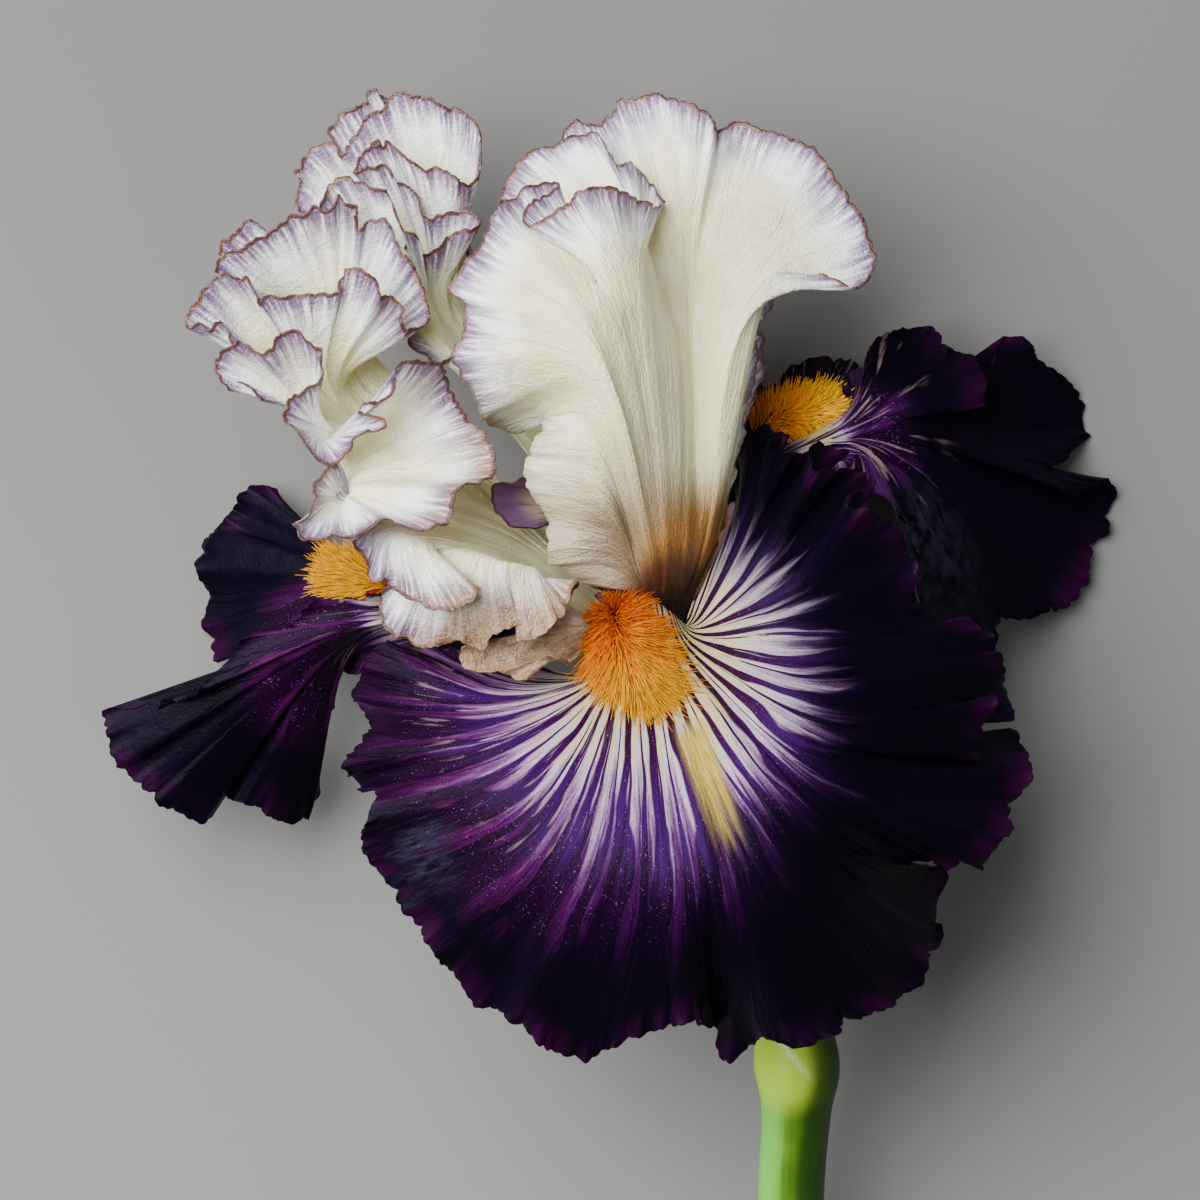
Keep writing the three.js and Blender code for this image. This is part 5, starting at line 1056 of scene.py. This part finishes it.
def beard_pad(seat):
    """The low cushion that the hairs stand on: its points, faces and UV values."""
    t, s = np.meshgrid(np.linspace(0, 1, PAD_ROWS), np.linspace(-1, 1, PAD_COLUMNS), indexing="ij")
    t, s = t.ravel(), s.ravel()
    point, normal, _, _ = seat(t, s)
    half = PAD_HEIGHT * pad_swell(t, s) / 2
    middle = (point + normal * (PAD_EDGE + half)[:, None]).reshape(PAD_ROWS, PAD_COLUMNS, 3)
    for _ in range(PAD_SMOOTHINGS):
        around = middle[:-2, 1:-1] + middle[2:, 1:-1] + middle[1:-1, :-2] + middle[1:-1, 2:]
        middle[1:-1, 1:-1] = around / 4
    points, faces = blade_points(middle, (PAD_EDGE_HALF + half).reshape(PAD_ROWS, PAD_COLUMNS))
    return points, faces, np.tile(np.column_stack([t, np.zeros(len(t))]), (2, 1))


def beard_hairs(beard, seat):
    """The hairs' points, faces and UV values."""
    random = np.random.default_rng(beard["seed"])
    count = beard["hairs"]
    t = random.uniform(0, 1, count)
    s = random.uniform(-1, 1, count)
    root, normal, onward, sideways = seat(t, s)
    root = root + normal * (PAD_EDGE + PAD_HEIGHT * pad_swell(t, s))[:, None]
    lean = beard["lean"] * LEAN * (t + LEAN_START)
    way = normal * HAIR_RISE + sideways * s[:, None] + onward * lean[:, None]
    way += random.normal(0, HAIR_SPREAD, (count, 3))
    way[:, 2] = np.maximum(way[:, 2], LEAST_RISE)
    way = unit(way)
    droop = onward * DROOP_ONWARD + sideways * (s * DROOP_ASIDE)[:, None]
    droop += random.normal(0, DROOP_SPREAD, (count, 3))
    length = beard["length"] * random.uniform(SHORTEST, LONGEST, count) * (INNER_LENGTH + LENGTH_GAIN * t)
    own_t = t + random.normal(0, TONE_SPREAD, count)
    helper = unit(np.cross(way, [0.0, 0.0, 1.0]))
    other = np.cross(way, helper)
    rings = []
    values = []
    for share in np.arange(HAIR_STEPS + 1) / HAIR_STEPS:
        centre = root + way * (length * share)[:, None] + droop * (length * share**2 * DROOP)[:, None]
        radius = HAIR_ROOT + (HAIR_TIP - HAIR_ROOT) * share
        for angle in 2 * np.pi * np.arange(HAIR_SIDES) / HAIR_SIDES:
            rings.append(centre + radius * (helper * np.cos(angle) + other * np.sin(angle)))
            values.append(np.column_stack([own_t, np.full(count, share)]))
    first_ring = np.arange(HAIR_SIDES)
    caps = np.array([first_ring[::-1], first_ring + HAIR_STEPS * HAIR_SIDES])
    strand = np.concatenate([grid_faces(HAIR_STEPS + 1, HAIR_SIDES, closed=True), caps])
    starts = np.arange(count) * len(rings)
    faces = (strand[None] + starts[:, None, None]).reshape(-1, 4)
    return np.stack(rings, axis=1).reshape(-1, 3), faces, np.stack(values, axis=1).reshape(-1, 2)


def beard_material(beard):
    """Hair colours from the inner end of the beard to its outer end, with yellow tips, and roots and pad
    painted dark as the shade between the hairs.
    """
    paint = Paint(beard["skin"])
    t, tip = paint.uv("hair")
    t = t + paint.noise(paint.position(), 0.9).sway(0.4)
    first, middle, last = beard["colors"]
    root = paint.mix(paint.step(t, 0.3, 1.0), ROOT_SHADE_RUST, ROOT_SHADE_BROWN)
    color = paint.coats(first, [
        (middle, paint.step(t, -0.05, 0.35)),
        (last, paint.step(t, 0.30, 0.75)),
        (HAIR_YELLOW, tip * 0.3),
        # painted shade: dark roots, and the pad, whose tip value is 0
        (root, paint.step(tip, 0.35, 0.0)),
    ])
    return paint.finish(color, Roughness=0.5, Specular_IOR_Level=0.06)


def beard_piece(name, beard):
    """Fine hairs on a low pad, as one mesh."""
    seat = beard_seat(beard)
    hairs, hair_faces, hair_values = beard_hairs(beard, seat)
    pad, pad_faces, pad_values = beard_pad(seat)
    points = np.concatenate([hairs, pad])
    faces = np.concatenate([hair_faces, pad_faces + len(hairs)])
    layers = {"hair": np.concatenate([hair_values, pad_values])}
    make_piece(name, beard_material(beard), points, faces, layers)


# ---------------------------------------------------------------- round bodies
def round_piece(name, material, stations, radii, sides, steps, rib=0.0):
    """A round body along a smooth line, closed at both ends, with grooves up to twice rib deep."""
    keys = np.arange(len(stations))
    t = np.linspace(0, keys[-1], steps)
    centre = smooth_at(keys, stations, t)
    radius = smooth_at(keys, np.asarray(radii, float)[:, None], t)
    tangent = unit(np.gradient(centre, axis=0))
    helper = unit(np.cross(tangent, [0.0, 0.0, 1.0]))[:, None]
    other = np.cross(helper, tangent[:, None])
    angle = np.linspace(0, 2 * np.pi, sides, endpoint=False)
    ribs = np.cos(angle * RIBS_ROUND + (t / keys[-1])[:, None] * RIBS_TWIST) - 1
    way = helper * np.cos(angle)[None, :, None] + other * np.sin(angle)[None, :, None]
    grid = centre[:, None] + (radius + rib * ribs)[..., None] * way
    points = np.concatenate([grid.reshape(-1, 3), [centre[0], centre[-1]]])
    ring = np.arange(sides)
    following = np.roll(ring, -1)
    first = np.full(sides, steps * sides)
    last_ring = (steps - 1) * sides
    low_cap = np.stack([first, following, ring], axis=-1)
    high_cap = np.stack([first + 1, ring + last_ring, following + last_ring], axis=-1)
    length = running_length(centre) * UV_LENGTH
    around = np.tile(angle / (2 * np.pi), steps)
    skin = np.column_stack([around, np.repeat(length, sides)])
    skin = np.concatenate([skin, [[0.5, 0.0], [0.5, length[-1]]]])
    quads = grid_faces(steps, sides, closed=True)
    make_piece(name, material, points, quads, {"skin": skin}, np.concatenate([low_cap, high_cap]))


# ---------------------------------------------------------------- stem
STEM = [  # (right, down, depth), radius
    ((795, 1480, -33), 5.0),
    ((794, 1330, -29), 5.0),
    ((791, 1200, -23), 5.1),
    ((796, 1113, -18), 5.4),
    ((797, 1068, -16), 6.6),
    ((790, 1020, -15), 6.0),
    ((762, 920, -15), 6.4),
    ((715, 800, -13), 4.6),
    ((670, 710, -8), 4.4),
]
TUBE_NECK = 3.0  # below the tube's top it is a little thinner
TUBE_NECK_RADIUS = 5.1
GAP = 0.3  # between the tube's top and the petals' feet
RIB = 0.05
RIBS_ROUND = 9
RIBS_TWIST = 3
STEM_GREEN = (0.045, 0.130, 0.005)
STEM_LEAF = (0.090, 0.220, 0.014)
STEM_LIME = (0.37, 0.56, 0.03)
STEM_LIT_MINT = (0.13, 0.46, 0.06)
STEM_SHADE_GREEN = (0.009, 0.034, 0.0006)
STEM_CREASE_HIGHLIGHT = (0.62, 0.72, 0.38)
COLLAR = (785, 1062)
CREASE_START, CREASE_END, CREASE_HALF = (782, 1046), (808, 1078), 0.35


def stem_material():
    """Green, with painted light in mint on the left and painted shade on the right, and on the swelling a
    painted lime highlight and a pale line painted as the highlight of its crease.
    """
    paint = Paint("stem_skin")
    around, along = paint.lengths("skin")
    fibre = paint.fibres(around * 0.9, along * 0.05, 0.0, 3.0, 0.6)
    cloud = paint.noise(paint.position(), 0.12)
    to_right = paint.facing((1, 0, 0))
    lit = paint.step(paint.near(COLLAR), 10.5, 5.0) * paint.step(to_right, 0.80, -0.2)
    color = paint.coats(STEM_GREEN, [
        (STEM_LEAF, paint.step(fibre, 0.35, 0.7)),
        (STEM_LIME, paint.step(cloud, 0.4, 0.7) * 0.3),
        # painted light on the left side, then painted shade on the right side
        (STEM_LIT_MINT, paint.step(to_right, -0.10, -0.95) * 0.9),
        (STEM_SHADE_GREEN, paint.step(to_right, -0.50, 0.25) * 0.93),
        # painted light: lime on the left of the swelling
        (STEM_LIME, lit * 0.9),
        # a pale line on the swelling's crease, painted as its highlight
        (STEM_CREASE_HIGHLIGHT, streak_mask(paint, CREASE_START, CREASE_END, CREASE_HALF, fibre) * 0.7),
    ])
    return paint.finish(
        color, fibre, strength=0.2, depth=0.2, Roughness=0.42, Specular_IOR_Level=0.22,
        Subsurface_Weight=0.2, Subsurface_Radius=(0.6, 1.0, 0.3), Subsurface_Scale=0.002,
    )


def stem_piece():
    top = TUBE_TOP - (0, GAP, 0)
    points = np.concatenate([place([point for point, _ in STEM]), [top - (0, TUBE_NECK, 0), top]])
    radii = [radius for _, radius in STEM] + [TUBE_NECK_RADIUS, TUBE_RADIUS]
    round_piece("stem", stem_material(), points, radii, sides=64, steps=260, rib=RIB)


# ---------------------------------------------------------------- stamens
STAMENS = {  # (right, down, depth), radius
    "stamen_front": [
        ((654, 646, -2.6), 0.4), ((648, 630, 0.6), 0.4), ((640, 616, 4.2), 0.7), ((634, 608, 5.4), 0.4),
    ],
    "stamen_left": [
        ((636, 646, -7.7), 0.4), ((628, 626, -10.2), 0.4), ((615, 604, -12), 0.5), ((600, 584, -13), 0.9),
        ((586, 568, -13.5), 0.4),
    ],
    "stamen_right": [
        ((674, 646, -7.7), 0.4), ((677, 626, -9.8), 0.4), ((688, 598, -11.8), 0.5), ((700, 576, -13), 0.9),
        ((710, 558, -14), 0.4),
    ],
}
POLLEN = (0.72, 0.62, 0.38)
PALE_POLLEN = (0.88, 0.82, 0.62)


def stamen_pieces():
    paint = Paint("pollen")
    grain = paint.noise(paint.position(), 6.0)
    color = paint.mix(paint.step(grain, 0.35, 0.7), POLLEN, PALE_POLLEN)
    pollen = paint.finish(color, grain, strength=0.5, depth=0.1, Roughness=0.8)
    for name, line in STAMENS.items():
        points, radii = place([point for point, _ in line]), [radius for _, radius in line]
        round_piece(name, pollen, points, radii, sides=16, steps=40)


# ---------------------------------------------------------------- studio
FLOOR_HALF = 2.5  # m
FLOOR_DROP = 0.0002  # m, so that the floor is clear of what lies on it
FLOOR_GREY = (0.106, 0.104, 0.102)
FLOOR_LIT_GREY = (0.165, 0.163, 0.159)
FLOOR_FADE = 160  # mm to each side over which it turns paler
LAMPS = {  # place and size in m, power in W, colour
    "key": ((-0.76, 0.48, 1.18), 1.70, 100, (1, 1, 1)),
    "fill": ((0.9, -0.3, 1.1), 1.4, 4, (0.93, 0.96, 1.0)),
}
LAMP_TARGET = Vector((0, 0.03, 0.03))
WORLD_COLOR = (0.62, 0.63, 0.65, 1)
WORLD_STRENGTH = 0.30
SENSOR = 36.0


def make_floor():
    """A paper floor, with painted light that makes it paler toward the lower left."""
    mesh = bpy.data.meshes.new("floor")
    corners = [(-1, -1), (1, -1), (1, 1), (-1, 1)]
    mesh.from_pydata([(x * FLOOR_HALF, y * FLOOR_HALF, -FLOOR_DROP) for x, y in corners], [], [(0, 1, 2, 3)])
    paint = Paint("floor_paper")
    right, up, _ = paint.split(paint.position())
    # painted light: paler toward the lower left
    color = paint.mix(paint.step(right * 0.6 + up, FLOOR_FADE, -FLOOR_FADE), FLOOR_GREY, FLOOR_LIT_GREY)
    mesh.materials.append(paint.finish(color, Roughness=0.9))
    floor = link("floor", mesh)


def make_lights():
    for name, (where, size, watts, color) in LAMPS.items():
        data = bpy.data.lights.new(name, "AREA")
        data.shape = "DISK"
        data.size = size
        data.energy = watts
        data.color = color
        lamp = link(name, data)
        lamp.location = where
        lamp.rotation_euler = (LAMP_TARGET - Vector(where)).to_track_quat("-Z", "Y").to_euler()
    world = bpy.data.worlds.new("studio")
    world.use_nodes = True
    background = world.node_tree.nodes["Background"].inputs
    background["Color"].default_value = WORLD_COLOR
    background["Strength"].default_value = WORLD_STRENGTH
    bpy.context.scene.world = world


def make_camera():
    """It hangs at the eye and takes in the whole drawing."""
    data = bpy.data.cameras.new("camera")
    data.sensor_width = SENSOR
    data.lens = SENSOR * EYE_HEIGHT / (DRAWING_SIDE * UNIT)
    camera = link("camera", data)
    camera.location = Vector(ORIGIN * MM) + Vector((0, 0, EYE_HEIGHT * MM))
    bpy.context.scene.camera = camera


# ---------------------------------------------------------------- making
stem_piece()

front_fall = fall_material(
    "front_fall_skin", 1.0, throat=(646, 650), cream_reach=28.0, centre=(600, 716), purple_reach=34.0,
    vein_spacing=7.0, pale_reach=42.0, pale_share=0.8, pale_side=2.0, pale_rate=1.1,
    sheen_patch=((430, 842), 7.0), gold=((690, 730), (727, 838), 2.2),
)
right_fall = fall_material(
    "right_fall_skin", 5.0, throat=(822, 434), cream_reach=5.5, centre=(862, 444), purple_reach=10.5,
    vein_spacing=4.0, pale_reach=24.0, pale_share=0.5, sheen_patch=((908, 560), 15.0),
)
left_fall = fall_material(
    "left_fall_skin", 9.0, throat=(395, 606), cream_reach=6.0, centre=(325, 672), purple_reach=14.0,
    vein_spacing=4.0, pale_reach=16.0, pale_share=0.45,
)
petal_piece("fall_front", FALL_FRONT, front_fall)
petal_piece("fall_right", FALL_RIGHT, right_fall)
petal_piece("fall_left", FALL_LEFT, left_fall)

right_standard = standard_material("right_standard_skin", 2.0, 11.5, 24.0, shaded=(606, 530))
left_standard = standard_material("left_standard_skin", 4.0, 8.0, 48.0, dry_lobe=(522, 682))
petal_piece("standard_right", STANDARD_RIGHT, right_standard)
petal_piece("standard_left", STANDARD_LEFT, left_standard)
petal_piece("standard_rear", STANDARD_REAR, standard_material("rear_standard_skin", 6.0, 8.0, 30.0))

# The front style arm lies in the throat's shade, so its inner tissue takes the painted throat shade.
front_style = style_material("front_style_skin", 1.0, PAINTED_THROAT_SHADE, WISP, 0.8)
petal_piece("style_front", STYLE_FRONT, front_style)
petal_piece("style_left", STYLE_LEFT, style_material("left_style_skin", 2.0, CREST_INNER, CREST_VIOLET, 11.0))
petal_piece("style_right", STYLE_RIGHT, style_material("right_style_skin", 3.0, AMBER, CREST_VIOLET, 4.0))

for beard_name, beard in BEARDS.items():
    beard_piece(beard_name, beard)
stamen_pieces()

make_floor()
make_lights()
make_camera()

bpy.context.view_layer.update()
